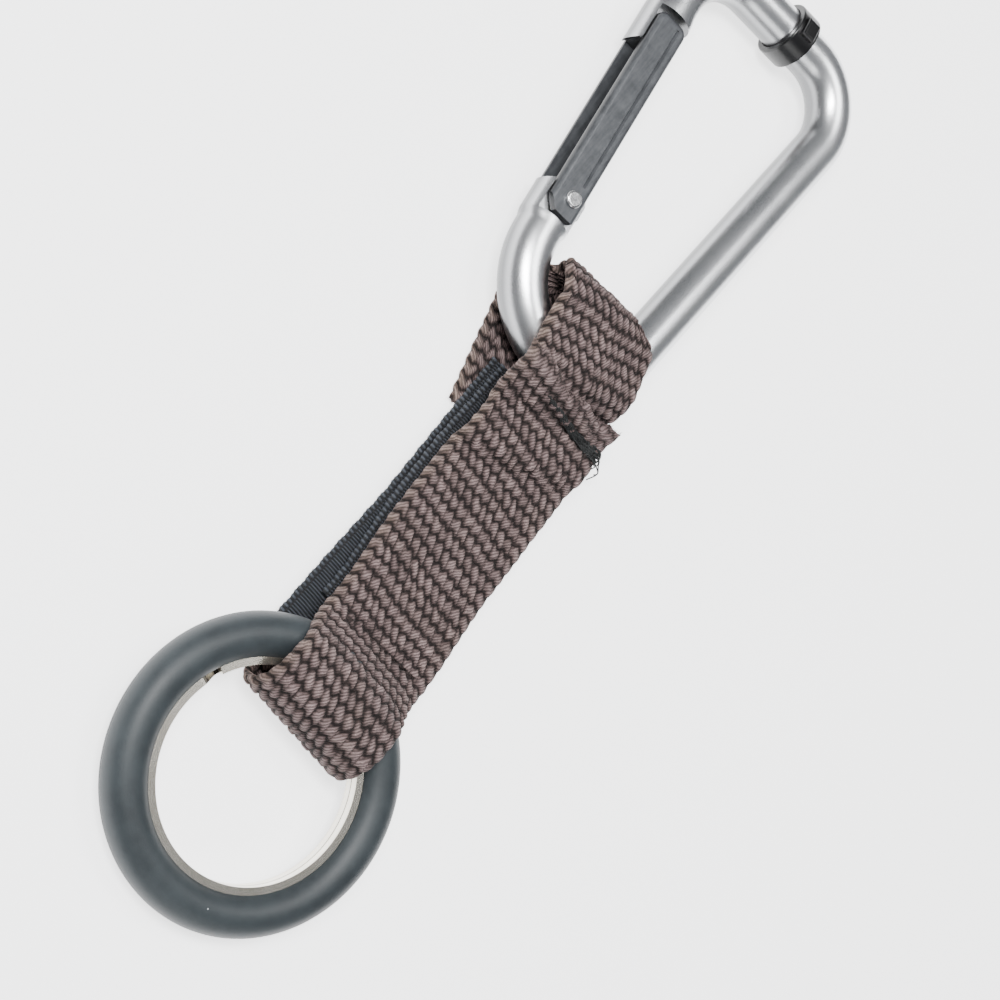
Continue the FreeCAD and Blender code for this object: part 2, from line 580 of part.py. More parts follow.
def tilted(x, y, z, ay, deg):
    a = math.radians(deg)
    dy, dz = y - ay[0], z - ay[1]
    return x, ay[0] + dy * math.cos(a) - dz * math.sin(a), ay[1] + dy * math.sin(a) + dz * math.cos(a)


rx, ry = g0[0] - GN[0] * -RIVET_N, g0[1] - GN[1] * -RIVET_N
print("rivet", at(*tilted(rx, ry, BAR_Z, (BAR_Y, BAR_Z), CARAB_TILT)), "axis", tilted(0, 0, 1, (0, 0), CARAB_TILT))
print("gate direction", tilted(GU[0], GU[1], 0, (0, 0), CARAB_TILT))
print("bar", at(0, BAR_Y, BAR_Z), "tube", at(0, TUBE_Y, RING_Z))
print("ring centre", at(*tilted(RING_C[0], RING_C[1], RING_Z, (TUBE_Y, RING_Z), RING_TILT)), "axis", tilted(0, 0, 1, (0, 0), RING_TILT))
print("band", at(*tilted(BAND_AT[0], BAND_AT[1], BAR_Z, (BAR_Y, BAR_Z), CARAB_TILT)), "axis", tilted(top_dir[0], top_dir[1], 0, (0, 0), CARAB_TILT))
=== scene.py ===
import math
import bpy
import numpy as np
from mathutils import Matrix, Vector


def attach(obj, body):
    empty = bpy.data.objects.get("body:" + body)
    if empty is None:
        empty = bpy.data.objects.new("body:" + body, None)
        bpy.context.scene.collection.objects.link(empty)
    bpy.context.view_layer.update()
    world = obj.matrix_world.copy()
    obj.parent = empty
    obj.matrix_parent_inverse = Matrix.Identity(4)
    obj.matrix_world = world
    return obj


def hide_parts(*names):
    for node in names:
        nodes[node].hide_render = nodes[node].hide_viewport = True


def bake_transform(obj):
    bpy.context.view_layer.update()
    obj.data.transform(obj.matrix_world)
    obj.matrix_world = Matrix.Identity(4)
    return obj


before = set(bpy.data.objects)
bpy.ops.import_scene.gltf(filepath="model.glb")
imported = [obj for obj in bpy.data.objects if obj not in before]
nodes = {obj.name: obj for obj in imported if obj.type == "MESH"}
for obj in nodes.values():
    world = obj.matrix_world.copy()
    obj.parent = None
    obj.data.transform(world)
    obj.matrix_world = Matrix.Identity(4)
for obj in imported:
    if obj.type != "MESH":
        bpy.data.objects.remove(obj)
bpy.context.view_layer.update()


# Lengths below are in mm in a drawing frame whose origin lies OX, OY from the frame's.
OX, OY = 5.371, -7.506
MM = 0.001


def to_row(p):
    p = np.asarray(p, float)
    return (p + np.array([OX, OY, 0.0])) * MM


# ------------------------------------------------------------------ camera
cam_data = bpy.data.cameras.new("camera")
cam_data.sensor_width = 36.0
cam_data.lens = 86.4
cam_data.clip_start = 0.01
cam = bpy.data.objects.new("camera", cam_data)
bpy.context.scene.collection.objects.link(cam)
m = Matrix.Identity(4)
for k, col in enumerate(((0.5753, 0.5835, 0.5736), (-0.7123, 0.7023, 0.0), (-0.4028, -0.4086, 0.8192))):
    for r in range(3):
        m[r][k] = col[r]
m.translation = (-0.13085, -0.14965, 0.28580)
cam.matrix_world = m
bpy.context.scene.camera = cam


# ------------------------------------------------------------------ noise
def fract_hash(i, j, seed=0.0):
    s = np.sin(i * 127.1 + j * 311.7 + seed * 74.7) * 43758.5453
    return s - np.floor(s)


def vnoise(x, y, seed=0.0):
    x, y = np.broadcast_arrays(np.asarray(x, float), np.asarray(y, float))
    i, j = np.floor(x), np.floor(y)
    fx, fy = x - i, y - j
    fx, fy = fx * fx * (3 - 2 * fx), fy * fy * (3 - 2 * fy)
    a, b = fract_hash(i, j, seed), fract_hash(i + 1, j, seed)
    c, d = fract_hash(i, j + 1, seed), fract_hash(i + 1, j + 1, seed)
    return (a * (1 - fx) + b * fx) * (1 - fy) + (c * (1 - fx) + d * fx) * fy


def smooth(x, a, b):
    t = np.clip((np.asarray(x, float) - a) / (b - a), 0, 1)
    return t * t * (3 - 2 * t)


# ------------------------------------------------------------------ mesh helpers
def make_object(name, verts, faces, attrs=None, sharp=None):
    me = bpy.data.meshes.new(name)
    verts = np.ascontiguousarray(verts, dtype=np.float64)
    faces = np.ascontiguousarray(faces, dtype=np.int32)
    n, k = faces.shape
    me.vertices.add(len(verts))
    me.vertices.foreach_set("co", verts.ravel())
    me.loops.add(n * k)
    me.loops.foreach_set("vertex_index", faces.ravel())
    me.polygons.add(n)
    me.polygons.foreach_set("loop_start", np.arange(0, n * k, k, dtype=np.int32))
    me.polygons.foreach_set("loop_total", np.full(n, k, dtype=np.int32))
    me.update(calc_edges=True)
    me.polygons.foreach_set("use_smooth", np.ones(n, dtype=bool))
    for key, (kind, data) in (attrs or {}).items():
        a = me.attributes.new(key, kind, "POINT")
        a.data.foreach_set("vector" if kind == "FLOAT_VECTOR" else "value", np.ascontiguousarray(data, dtype=np.float32).ravel())
    if sharp is not None:
        ev = np.zeros(len(me.edges) * 2, dtype=np.int32)
        me.edges.foreach_get("vertices", ev)
        ev = ev.reshape(-1, 2)
        me.edges.foreach_set("use_edge_sharp", sharp[ev].all(axis=1))
    me.validate()
    ob = bpy.data.objects.new(name, me)
    bpy.context.scene.collection.objects.link(ob)
    return ob


def shell(name, P, top, bot, attr_top, attr_bot, round_ends=(True, True)):
    """Closed band from a centre surface P[v, u], with its upper and lower offsets."""
    nv, nu = P.shape[:2]
    du = np.gradient(P, axis=1)
    dv = np.gradient(P, axis=0)
    N = np.cross(du, dv)
    N /= np.maximum(np.linalg.norm(N, axis=2, keepdims=True), 1e-12)
    A = P + N * top[..., None]
    B = P - N * bot[..., None]
    ring = np.concatenate([A, B[:, ::-1][:, 1:-1]], axis=1)
    # the two selvedges share their vertices
    ring[:, 0] = (A[:, 0] + B[:, 0]) / 2
    ring[:, nu - 1] = (A[:, -1] + B[:, -1]) / 2
    attr = np.concatenate([attr_top, attr_bot[:, ::-1][:, 1:-1]], axis=1)
    w = ring.shape[1]
    idx = np.arange(nv * w).reshape(nv, w)
    a = idx[:-1]
    b = idx[1:]
    q = np.stack([a, np.roll(a, -1, axis=1), np.roll(b, -1, axis=1), b], axis=-1).reshape(-1, 4)
    caps = []
    for row, flip in ((idx[0], True), (idx[-1], False)):
        t, u = row[:nu], np.concatenate([[row[0]], row[nu:][::-1], [row[nu - 1]]])
        c = np.stack([t[:-1], t[1:], u[1:], u[:-1]], axis=-1)
        if flip:
            c = c[:, ::-1]
        caps.append(c[1:-1])
        # the outermost cells are triangles, written as a quad beside the next one
    faces = np.concatenate([q] + caps)
    tri = []
    for row, flip in ((idx[0], True), (idx[-1], False)):
        t, u = row[:nu], np.concatenate([[row[0]], row[nu:][::-1], [row[nu - 1]]])
        for c in ((t[0], t[1], u[1]), (t[-2], t[-1], u[-2])):
            tri.append(c[::-1] if flip else c)
    sharp = np.zeros(nv * w, dtype=bool)
    sharp[idx[0]] = True
    sharp[idx[-1]] = True
    verts = to_row(ring.reshape(-1, 3))
    at = attr.reshape(-1, attr.shape[-1])
    ob = make_mixed(name, verts, faces, np.array(tri), {"weave": ("FLOAT_VECTOR", at[:, :3]), "tone": ("FLOAT", at[:, 3])}, sharp)
    return ob


def make_mixed(name, verts, quads, tris, attrs, sharp):
    me = bpy.data.meshes.new(name)
    me.vertices.add(len(verts))
    me.vertices.foreach_set("co", np.ascontiguousarray(verts, dtype=np.float64).ravel())
    loops = np.concatenate([quads.ravel(), tris.ravel()]).astype(np.int32)
    me.loops.add(len(loops))
    me.loops.foreach_set("vertex_index", loops)
    nq, nt = len(quads), len(tris)
    me.polygons.add(nq + nt)
    start = np.concatenate([np.arange(nq) * 4, nq * 4 + np.arange(nt) * 3]).astype(np.int32)
    total = np.concatenate([np.full(nq, 4), np.full(nt, 3)]).astype(np.int32)
    me.polygons.foreach_set("loop_start", start)
    me.polygons.foreach_set("loop_total", total)
    me.update(calc_edges=True)
    me.polygons.foreach_set("use_smooth", np.ones(nq + nt, dtype=bool))
    for key, (kind, data) in attrs.items():
        a = me.attributes.new(key, kind, "POINT")
        a.data.foreach_set("vector" if kind == "FLOAT_VECTOR" else "value", np.ascontiguousarray(data, dtype=np.float32).ravel())
    ev = np.zeros(len(me.edges) * 2, dtype=np.int32)
    me.edges.foreach_get("vertices", ev)
    me.edges.foreach_set("use_edge_sharp", sharp[ev.reshape(-1, 2)].all(axis=1))
    me.validate()
    ob = bpy.data.objects.new(name, me)
    bpy.context.scene.collection.objects.link(ob)
    return ob


def tubes(name, lines, radii, sides=7, close=True):
    """Round threads through lists of points, as one mesh. A radius is a number or one per point."""
    V, F, T, at, tone = [], [], [], [], []
    base = 0
    for li, (pts, rad) in enumerate(zip(lines, radii)):
        pts = np.asarray(pts, float)
        n = len(pts)
        rad = np.full(n, rad) if np.isscalar(rad) else np.asarray(rad, float)
        tan = np.gradient(pts, axis=0)
        tan /= np.linalg.norm(tan, axis=1, keepdims=True)
        up = np.tile(np.array([0.13, 0.21, 1.0]), (n, 1))
        s = np.cross(tan, up)
        s /= np.linalg.norm(s, axis=1, keepdims=True)
        t = np.cross(s, tan)
        ang = np.arange(sides) * 2 * math.pi / sides
        length = np.concatenate([[0], np.cumsum(np.linalg.norm(np.diff(pts, axis=0), axis=1))])
        ring = pts[:, None] + rad[:, None, None] * (np.cos(ang)[None, :, None] * s[:, None] + np.sin(ang)[None, :, None] * t[:, None])
        V.append(ring.reshape(-1, 3))
        idx = base + np.arange(n * sides).reshape(n, sides)
        a, b = idx[:-1], idx[1:]
        F.append(np.stack([a, b, np.roll(b, -1, axis=1), np.roll(a, -1, axis=1)], axis=-1).reshape(-1, 4))
        at.append(np.stack([np.tile(ang / (2 * math.pi), n), np.repeat(length, sides), np.full(n * sides, 1.0)], axis=-1))
        tone.append(np.full(n * sides, fract_hash(li, 3.0)))
        # ends
        V.append(pts[[0, -1]])
        c0, c1 = base + n * sides, base + n * sides + 1
        for k in range(sides):
            T.append((c0, idx[0][k], idx[0][(k + 1) % sides]))
            T.append((c1, idx[-1][(k + 1) % sides], idx[-1][k]))
        at.append(np.array([[0, 0, 1], [0, length[-1], 1]], float))
        tone.append(np.full(2, fract_hash(li, 3.0)))
        base += n * sides + 2
    V = np.concatenate(V)
    return make_mixed(name, to_row(V), np.concatenate(F), np.array(T), {"weave": ("FLOAT_VECTOR", np.concatenate(at)), "tone": ("FLOAT", np.concatenate(tone))}, np.zeros(len(V), dtype=bool))


def fillet(points, radii):
    """Straight runs joined by tangent arcs, as a dense polyline."""
    out = [np.array(points[0], float)[None]]
    cur = np.array(points[0], float)
    pts = [np.array(p, float) for p in points]
    for i in range(1, len(pts) - 1):
        d1, d2 = pts[i] - pts[i - 1], pts[i + 1] - pts[i]
        d1, d2 = d1 / np.linalg.norm(d1), d2 / np.linalg.norm(d2)
        turn = math.atan2(d1[0] * d2[1] - d1[1] * d2[0], float(d1 @ d2))
        r = radii[i - 1]
        t = r * math.tan(abs(turn) / 2)
        a = pts[i] - d1 * t
        s = 1 if turn > 0 else -1
        c = a + np.array([-d1[1], d1[0]]) * r * s
        a0 = math.atan2(a[1] - c[1], a[0] - c[0])
        n = max(2, int(np.linalg.norm(a - cur) / 0.15))
        out.append(cur + (a - cur) * np.linspace(0, 1, n)[1:, None])
        n = max(3, int(abs(turn) * r / 0.12))
        ang = a0 + turn * np.linspace(0, 1, n)[1:]
        out.append(c + r * np.stack([np.cos(ang), np.sin(ang)], axis=-1))
        cur = out[-1][-1]
    n = max(2, int(np.linalg.norm(pts[-1] - cur) / 0.15))
    out.append(cur + (pts[-1] - cur) * np.linspace(0, 1, n)[1:, None])
    return np.concatenate(out)


# ------------------------------------------------------------------ webbing weave
ROW, KNOT = 2.2, 1.62          # pitch of the rows, and of the knots across a row
WEB_T = 1.7
RELIEF = 0.55                  # depth of the crevices between rows
HALF = 10.0


def weave(u, v, seed, calm=0.0):
    """Height 0..1 of the woven face at u across and v along, with a tone for each knot."""
    vv = v + 0.27 * np.cos(2 * math.pi * u / KNOT + 0.9) + 0.7 * (vnoise(u * 0.16 + 3, v * 0.07, seed) - 0.5) + 0.30 * (vnoise(u * 0.9, v * 0.5, seed + 8) - 0.5)
    j = np.floor(vv / ROW)
    fr = vv / ROW - j - 0.5
    row = np.clip(1 - np.abs(2 * fr) ** 1.9, 0, 1) ** 0.85
    uu = u + 1.1 * (fract_hash(j, 5.0, seed) - 0.5) + 0.9 * (vnoise(u * 0.35, j * 1.7, seed + 2) - 0.5)
    # the knots of a row lean, as the turns of a twisted cord do
    k = uu / KNOT + 0.42 * fr + np.mod(j, 2) * 0.5
    i = np.floor(k)
    ku = k - i - 0.5
    edge = np.floor(k + 0.5)
    d = 0.5 - np.abs(ku)
    deep = 0.24 + 0.46 * fract_hash(edge, j, seed + 4) ** 1.3
    gap = 1 - deep * np.exp(-((d / 0.11) ** 2))
    crown = 1 - 0.30 * (2 * ku) ** 2
    tone = fract_hash(i, j, seed + 1)
    h = row * crown * gap * (0.78 + 0.32 * fract_hash(i, j, seed + 6)) + 0.10 * (vnoise(u * 3.1, v * 3.1, seed + 3) - 0.5)
    h = np.clip(h, 0, 1.05)
    # the selvedge: weft loops, one to a row, with no knots
    e = smooth(np.abs(u), HALF - 1.35, HALF - 0.75)
    loop = row * (0.86 + 0.14 * np.cos(2 * math.pi * (fr + 0.25 * np.sign(u))))
    h = h * (1 - e) + loop * e
    h = h * (1 - 0.55 * calm) + 0.46 * calm
    return h, tone


def web_piece(name, centre, U, Vs, seed, v_shift=0.0, calm=None, fray=(0, 0), swell=0.0, dark=None):
    """A length of webbing on a centre surface centre(u, v) -> [v, u, 3]."""
    Ug, Vg = np.meshgrid(U, Vs)
    P = centre
    c = 0.0 if calm is None else calm(Ug, Vg)
    ht, tt = weave(Ug, Vg + v_shift, seed, c)
    hb, tb = weave(Ug, Vg + v_shift + ROW / 2, seed + 11)
    full = WEB_T / 2 + swell
    edge = np.clip((np.abs(Ug) - (HALF - 0.95)) / 0.95, 0, 1)
    taper = np.sqrt(np.clip(1 - edge ** 2, 0, 1))
    top = (full - RELIEF * (1 - ht)) * taper
    bot = (full - RELIEF * (1 - hb)) * taper
    for end, amount in ((0, fray[0]), (-1, fray[1])):
        if amount:
            dist = np.abs(Vg - Vs[end])
            t = np.sqrt(np.clip(dist / 0.6, 0.12, 1))
            top, bot = top * t, bot * t
    # weft loops stand out of the selvedge, one to a row
    du = np.gradient(P, axis=1)
    du /= np.maximum(np.linalg.norm(du, axis=2, keepdims=True), 1e-12)
    out = smooth(np.abs(Ug), HALF - 1.6, HALF) * np.sign(Ug) * (np.where(Ug < 0, 0.24, 0.10) * (ht - 0.45) + 0.12 * (vnoise(Vg * 0.45, Ug * 0, seed + 9) - 0.5))
    P = P + du * out[..., None]
    for end, amount in ((0, fray[0]), (-1, fray[1])):
        if amount:
            sgn = -1 if end == 0 else 1
            dv = np.gradient(P, axis=0)
            dv /= np.maximum(np.linalg.norm(dv, axis=2, keepdims=True), 1e-12)
            near = smooth(-np.abs(Vg - Vs[end]), -1.6, 0)
            P = P + dv * (sgn * amount * near * (vnoise(Ug * 2.4, Ug * 0 + 7, seed) - 0.5) * 2)[..., None]
    # dark, when given, scales the colour height down: painted shade in a dip
    ht = ht if dark is None else ht * dark(P[..., 0], P[..., 1], P[..., 2])
    at_t = np.stack([Ug, Vg + v_shift, ht, tt], axis=-1)
    at_b = np.stack([Ug, Vg + v_shift, hb, tb], axis=-1)
    return shell(name, P, top, bot, at_t, at_b)


def resample(lines, U, Vs, zero):
    """Centre surface [v, u, 3] from one dense 3-D polyline for each column; v = 0 at zero[k] along it."""
    P = np.zeros((len(Vs), len(U), 3))
    for k, line in enumerate(lines):
        s = np.concatenate([[0], np.cumsum(np.linalg.norm(np.diff(line, axis=0), axis=1))]) - zero[k]
        for a in range(3):
            P[:, k, a] = np.interp(Vs, s, line[:, a])
        lo, hi = Vs < s[0], Vs > s[-1]
        if lo.any():
            d = (line[0] - line[1]) / np.linalg.norm(line[0] - line[1])
            P[lo, k] = line[0] + d * (s[0] - Vs[lo])[:, None]
        if hi.any():
            d = (line[-1] - line[-2]) / np.linalg.norm(line[-1] - line[-2])
            P[hi, k] = line[-1] + d * (Vs[hi] - s[-1])[:, None]
    return P


# ------------------------------------------------------------------ the straps' lines
Z_REAR, Z_FRONT, Z_SECOND = 0.85, 4.1, 5.85
LOOP_AT, LEAN = (-0.5, 13.5), math.radians(17.0)
EX = np.array([math.cos(LEAN), math.sin(LEAN)])
EY = np.array([-math.sin(LEAN), math.cos(LEAN)])
OVER_BAR = 10.29
FLAP = fillet([(-26.0, Z_FRONT), (-11.4, Z_FRONT), (-9.2, Z_SECOND), (-2.5, Z_SECOND), (2.7, 12.04), (16.0, 12.04)], [2.5, 2.5, 3.0, 2.6])


def late(x):
    """How much later the climb to the bar comes on the strap's right."""
    return 2.4 * smooth(x, -3.0, 10.0)


TACK_A, TACK_B = np.array([-5.2, 11.9]), np.array([9.4, 14.0])


def tack_dip(x, y):
    """Depth that the bartack pulls the layers down by."""
    d = TACK_B - TACK_A
    L = np.linalg.norm(d)
    d = d / L
    a = (x - TACK_A[0]) * d[0] + (y - TACK_A[1]) * d[1]
    n = np.abs(-(x - TACK_A[0]) * d[1] + (y - TACK_A[1]) * d[0])
    w = smooth(a, -1.5, 3.0) * smooth(-a, -L - 1.0, -L + 1.0)
    return 0.85 * w * (0.35 + 0.65 * smooth(a, 0, L)) * np.exp(-((n / 0.85) ** 2))


# painted shade: the weave's colour height is darkened where the bartack pulls the layers down
def tack_painted_shade(x, y):
    return 1 - 0.75 * np.clip(tack_dip(x, y), 0, 1)


def crease_dip(x, y):
    """Depth of the seam's crease above the ring."""
    line = -31.1 + 0.125 * x
    w = smooth(x, -5.6, -3.4) * smooth(-x, -10.6, -8.8)
    return 0.16 * w * np.exp(-(((y - line) / 0.30) ** 2))


# painted shade: the weave's colour height is darkened along the seam's crease on the upper layer
def crease_painted_shade(x, y, z):
    return 1 - 0.85 * np.where(z > 3.0, crease_dip(x, y) / 0.16, 0)


def front_z(x, y):
    yp = (x - LOOP_AT[0]) * EY[0] + (y - LOOP_AT[1]) * EY[1]
    z = np.interp(yp - late(x), FLAP[:, 0], FLAP[:, 1])
    z = z + 0.22 * (vnoise(x * 0.12, y * 0.09, 21) - 0.5)
    return z - tack_dip(x, y)


def flap_end(u):
    """Where the flap is cut, as a distance along the unleaned strap."""
    return 15.0 + 3.2 * smooth(-u, 0.5, 9.5) + 0.25 * math.sin(u * 0.9)


def centre_x(y):
    """The strap doesn't run quite straight from the ring to the carabiner."""
    y = np.asarray(y, float)
    return np.interp(y, [-47.7, -41, -36.5, -33, -30, -26, -20, -15, -4, 3], [0, 0.2, 0.6, 1.5, 2.0, 1.8, 1.1, 0.6, 0.2, 0.0])


FRONT_Y = np.arange(-20.0, 24.0, 0.12)
LEAN_A = LEAN * smooth(FRONT_Y, 2.0, 14.0)
LEAN_X = centre_x(FRONT_Y) - np.concatenate([[0], np.cumsum(np.sin(LEAN_A[:-1]) * 0.12)])
LEAN_Y = -20.0 + np.concatenate([[0], np.cumsum(np.cos(LEAN_A[:-1]) * 0.12)])
SPREAD = 1.02 + 0.10 * smooth(FRONT_Y, 7.0, 16.0)


U_FINE = np.concatenate([np.linspace(-HALF, -HALF + 0.95, 12)[:-1], np.linspace(-HALF + 0.95, HALF - 0.95, 142), np.linspace(HALF - 0.95, HALF, 12)[1:]])


def main_lines(U):
    lines, zero, front_s = [], [], []
    for u in U:
        sag = 0.8 * (18.8 - math.sqrt(18.8 ** 2 - u * u))
        ring = fillet(
            [(-20.0, Z_FRONT), (-30.6 - sag * 0.7, Z_FRONT), (-38.4 - sag * 0.5, 10.25), (-47.7, 10.25), (-47.7, Z_REAR), (-27.0, Z_REAR)],
            [9.0, 5.0, 4.68, 4.68],
        )
        up = ring[:, 1] > 3.3
        x = np.where(up, 1.02 * u + centre_x(ring[:, 0]), u)
        x = np.where(up, x, x + centre_x(-47.7))
        ring = np.concatenate([x[:, None], ring], axis=1)
        ring[up, 2] -= crease_dip(ring[up, 0], ring[up, 1])
        x = LEAN_X + u * SPREAD * np.cos(LEAN_A)
        y = LEAN_Y + u * SPREAD * np.sin(LEAN_A)
        z = front_z(x, y)
        # blend the small height noise in from the plain ring end
        z = Z_FRONT + (z - Z_FRONT) * smooth(FRONT_Y, -20.5, -16)
        front = np.stack([x, y, z], axis=-1)
        line = np.concatenate([ring[::-1][:-1], front])
        s = np.concatenate([[0], np.cumsum(np.linalg.norm(np.diff(line, axis=0), axis=1))])
        lines.append(line)
        zero.append(s[len(ring) - 1])
        front_s.append(s[len(ring) - 1:] - s[len(ring) - 1])
    return lines, zero, front_s


main, main_zero, main_front = main_lines(U_FINE)
DV = 0.155
# v = 0 at y = -20. The cuts between the pieces lie in crevices between rows.
V_LOW = -min(main_zero) + 0.02
CUT_A, CUT_B = 0.0, 12 * ROW


def cut_rows(a, b):
    return np.linspace(a, b, max(2, int(round((b - a) / DV)) + 1))


S_MAIN = 1.0
v0s = cut_rows(V_LOW, CUT_A)
v1s = cut_rows(CUT_A, CUT_B)
ring_end = web_piece("main_strap_ring_end", resample(main, U_FINE, v0s, main_zero), U_FINE, v0s, S_MAIN, fray=(0.35, 0), dark=crease_painted_shade)
middle = web_piece("main_strap_middle", resample(main, U_FINE, v1s, main_zero), U_FINE, v1s, S_MAIN)

# the flap's rows end at its cut line, so its columns have different lengths
end_v = []
for k, u in enumerate(U_FINE):
    end_v.append(float(np.interp(flap_end(float(u)), FRONT_Y, main_front[k])))
end_v = np.array(end_v)
nflap = int(round((end_v.mean() - CUT_B) / DV)) + 1
T = np.linspace(0, 1, nflap)
Pf = np.zeros((nflap, len(U_FINE), 3))
Vf = np.zeros((nflap, len(U_FINE)))
for k in range(len(U_FINE)):
    vs = CUT_B + (end_v[k] - CUT_B) * T
    Vf[:, k] = vs
    Pf[:, k] = resample([main[k]], U_FINE[k:k + 1], vs, [main_zero[k]])[:, 0]


def web_piece_grid(name, P, Ug, Vg, seed, calm=0.0, fray_end=0.0, dark_end=0.0):
    ht, tt = weave(Ug, Vg, seed, calm)
    hb, tb = weave(Ug, Vg + ROW / 2, seed + 11)
    full = WEB_T / 2
    edge = np.clip((np.abs(Ug) - (HALF - 0.95)) / 0.95, 0, 1)
    taper = np.sqrt(np.clip(1 - edge ** 2, 0, 1))
    top = (full - RELIEF * (1 - ht)) * taper
    bot = (full - RELIEF * (1 - hb)) * taper
    dist = Vg[-1:] - Vg
    t = np.sqrt(np.clip(dist / 0.9, 0.10, 1))
    top, bot = top * t, bot * t
    du = np.gradient(P, axis=1)
    du /= np.maximum(np.linalg.norm(du, axis=2, keepdims=True), 1e-12)
    out = smooth(np.abs(Ug), HALF - 1.6, HALF) * np.sign(Ug) * (np.where(Ug < 0, 0.24, 0.10) * (ht - 0.45) + 0.12 * (vnoise(Vg * 0.45, Ug * 0, seed + 9) - 0.5))
    P = P + du * out[..., None]
    dv = np.gradient(P, axis=0)
    dv /= np.maximum(np.linalg.norm(dv, axis=2, keepdims=True), 1e-12)
    near = smooth(-dist, -1.6, 0)
    P = P + dv * (fray_end * near * (vnoise(Ug * 2.4, Ug * 0 + 7, seed) - 0.5) * 2)[..., None]
    # painted shade around the bartack's dip
    ht = ht * tack_painted_shade(P[..., 0], P[..., 1])
    at_t = np.stack([Ug, Vg, ht, tt], axis=-1)
    at_b = np.stack([Ug, Vg, hb, tb], axis=-1)
    return shell(name, P, top, bot, at_t, at_b)


flap = web_piece_grid("main_strap_flap", Pf, np.tile(U_FINE, (nflap, 1)), Vf, S_MAIN, calm=0.5 * smooth(Vf, CUT_B + 8.0, CUT_B + 10.5), fray_end=0.3)


# ------------------------------------------------------------------ loop strap
LOOP_OUT = [-10, -7, -3, 2, 6, 10], [21.1, 20.8, 20.3, 19.8, 19.3, 18.6]
REAR_SHIFT = 4.6


def loop_line(u):
    out = float(np.interp(u, *LOOP_OUT)) - 0.85
    shift = float(late(0.956 * u - 1.2))
    top = OVER_BAR + 0.02
    r = (top - Z_REAR) / 2
    p = fillet([(-8.4, Z_FRONT), (-1.6 + shift, Z_FRONT), (3.7 + shift, top), (out, top), (out, Z_REAR), (-12.4, Z_REAR)], [3.0, 2.6, r - 0.02, r - 0.02])
    yp, z = p[:, 0], p[:, 1]
    n = len(p)
    half = int(np.argmax(yp))
    front = np.arange(n) <= half
    # lateral place of the two selvedges along the front layer
    right = np.interp(yp, [-9, 0, 4, 9, 13, 17, 20], [8.0, 8.2, 8.4, 8.4, 8.4, 7.9, 6.9])
    left = np.interp(yp, [-9, 0.5, 3, 8, 12.7, 14.3, 16.8, 18.2, 20], [-9.2, -9.4, -10.6, -11.0, -10.5, -10.0, -10.9, -11.5, -10.8])
    x_front = np.where(u > 0, u / HALF * right, -u / HALF * left)
    twist = REAR_SHIFT * (top - z) / (top - Z_REAR)
    # the left side of the fold is tucked in, and comes out only at the bottom
    late_twist = REAR_SHIFT * smooth((top - z) / (top - Z_REAR), 0.72, 1.0) - 1.0 * smooth(top - z, 1.5, 4.0) * smooth(z, 1.2, 3.0)
    side = smooth(-u, -1.0, 8.0)
    x_back = u - (twist * (1 - side) + late_twist * side)
    mix = smooth(top - z, 0.0, 5.0)
    xl = np.where(front, x_front * (1 - mix) + x_back * mix, x_back)
    # rounded sag between the leg and the spine, over the opening
    sag = 0.55 * np.exp(-(((yp - 11.5) / 4.5) ** 2)) * (1 - (u / HALF) ** 2)
    z = z - np.where(front, sag * smooth(yp, 5.5, 8.5), 0)
    x = LOOP_AT[0] + xl * EX[0] + yp * EY[0]
    y = LOOP_AT[1] + xl * EX[1] + yp * EY[1]
    # squeezed into the opening between the rod's leg and spine, where it passes between them
    inside = smooth(z, 1.0, 2.2) * smooth(-z, -10.2, -9.2) * smooth(yp, 12.0, 15.5)
    lo = -8.4 - np.sqrt(np.clip(9.55 ** 2 - np.clip(31.45 - y, 0, 9.5) ** 2, 0, None)) + 0.55
    hi = -8.4 + np.sqrt(np.clip(7.75 ** 2 - np.clip(29.65 - y, 0, 7.7) ** 2, 0, None)) - 0.55
    hi = hi + 0.04 * np.clip(y - 29.65, 0, None)
    mid, half_w = (lo + hi) / 2, (hi - lo) / 2
    q = (x - mid) / half_w
    soft = np.where(np.abs(q) > 0.75, np.sign(q) * (0.75 + 0.25 * np.tanh((np.abs(q) - 0.75) / 0.25)), q)
    x = x * (1 - inside) + (mid + soft * half_w) * inside
    return np.stack([x, y, z], axis=-1)


loops = [loop_line(u) for u in U_FINE]
loop_len = min(np.linalg.norm(np.diff(l, axis=0), axis=1).sum() for l in loops)
VL = cut_rows(0.02, loop_len - 0.02)
loop = web_piece("carabiner_loop_webbing", resample(loops, U_FINE, VL, [0.0] * len(loops)), U_FINE, VL, 7.0, v_shift=0.35, fray=(0.2, 0.5))


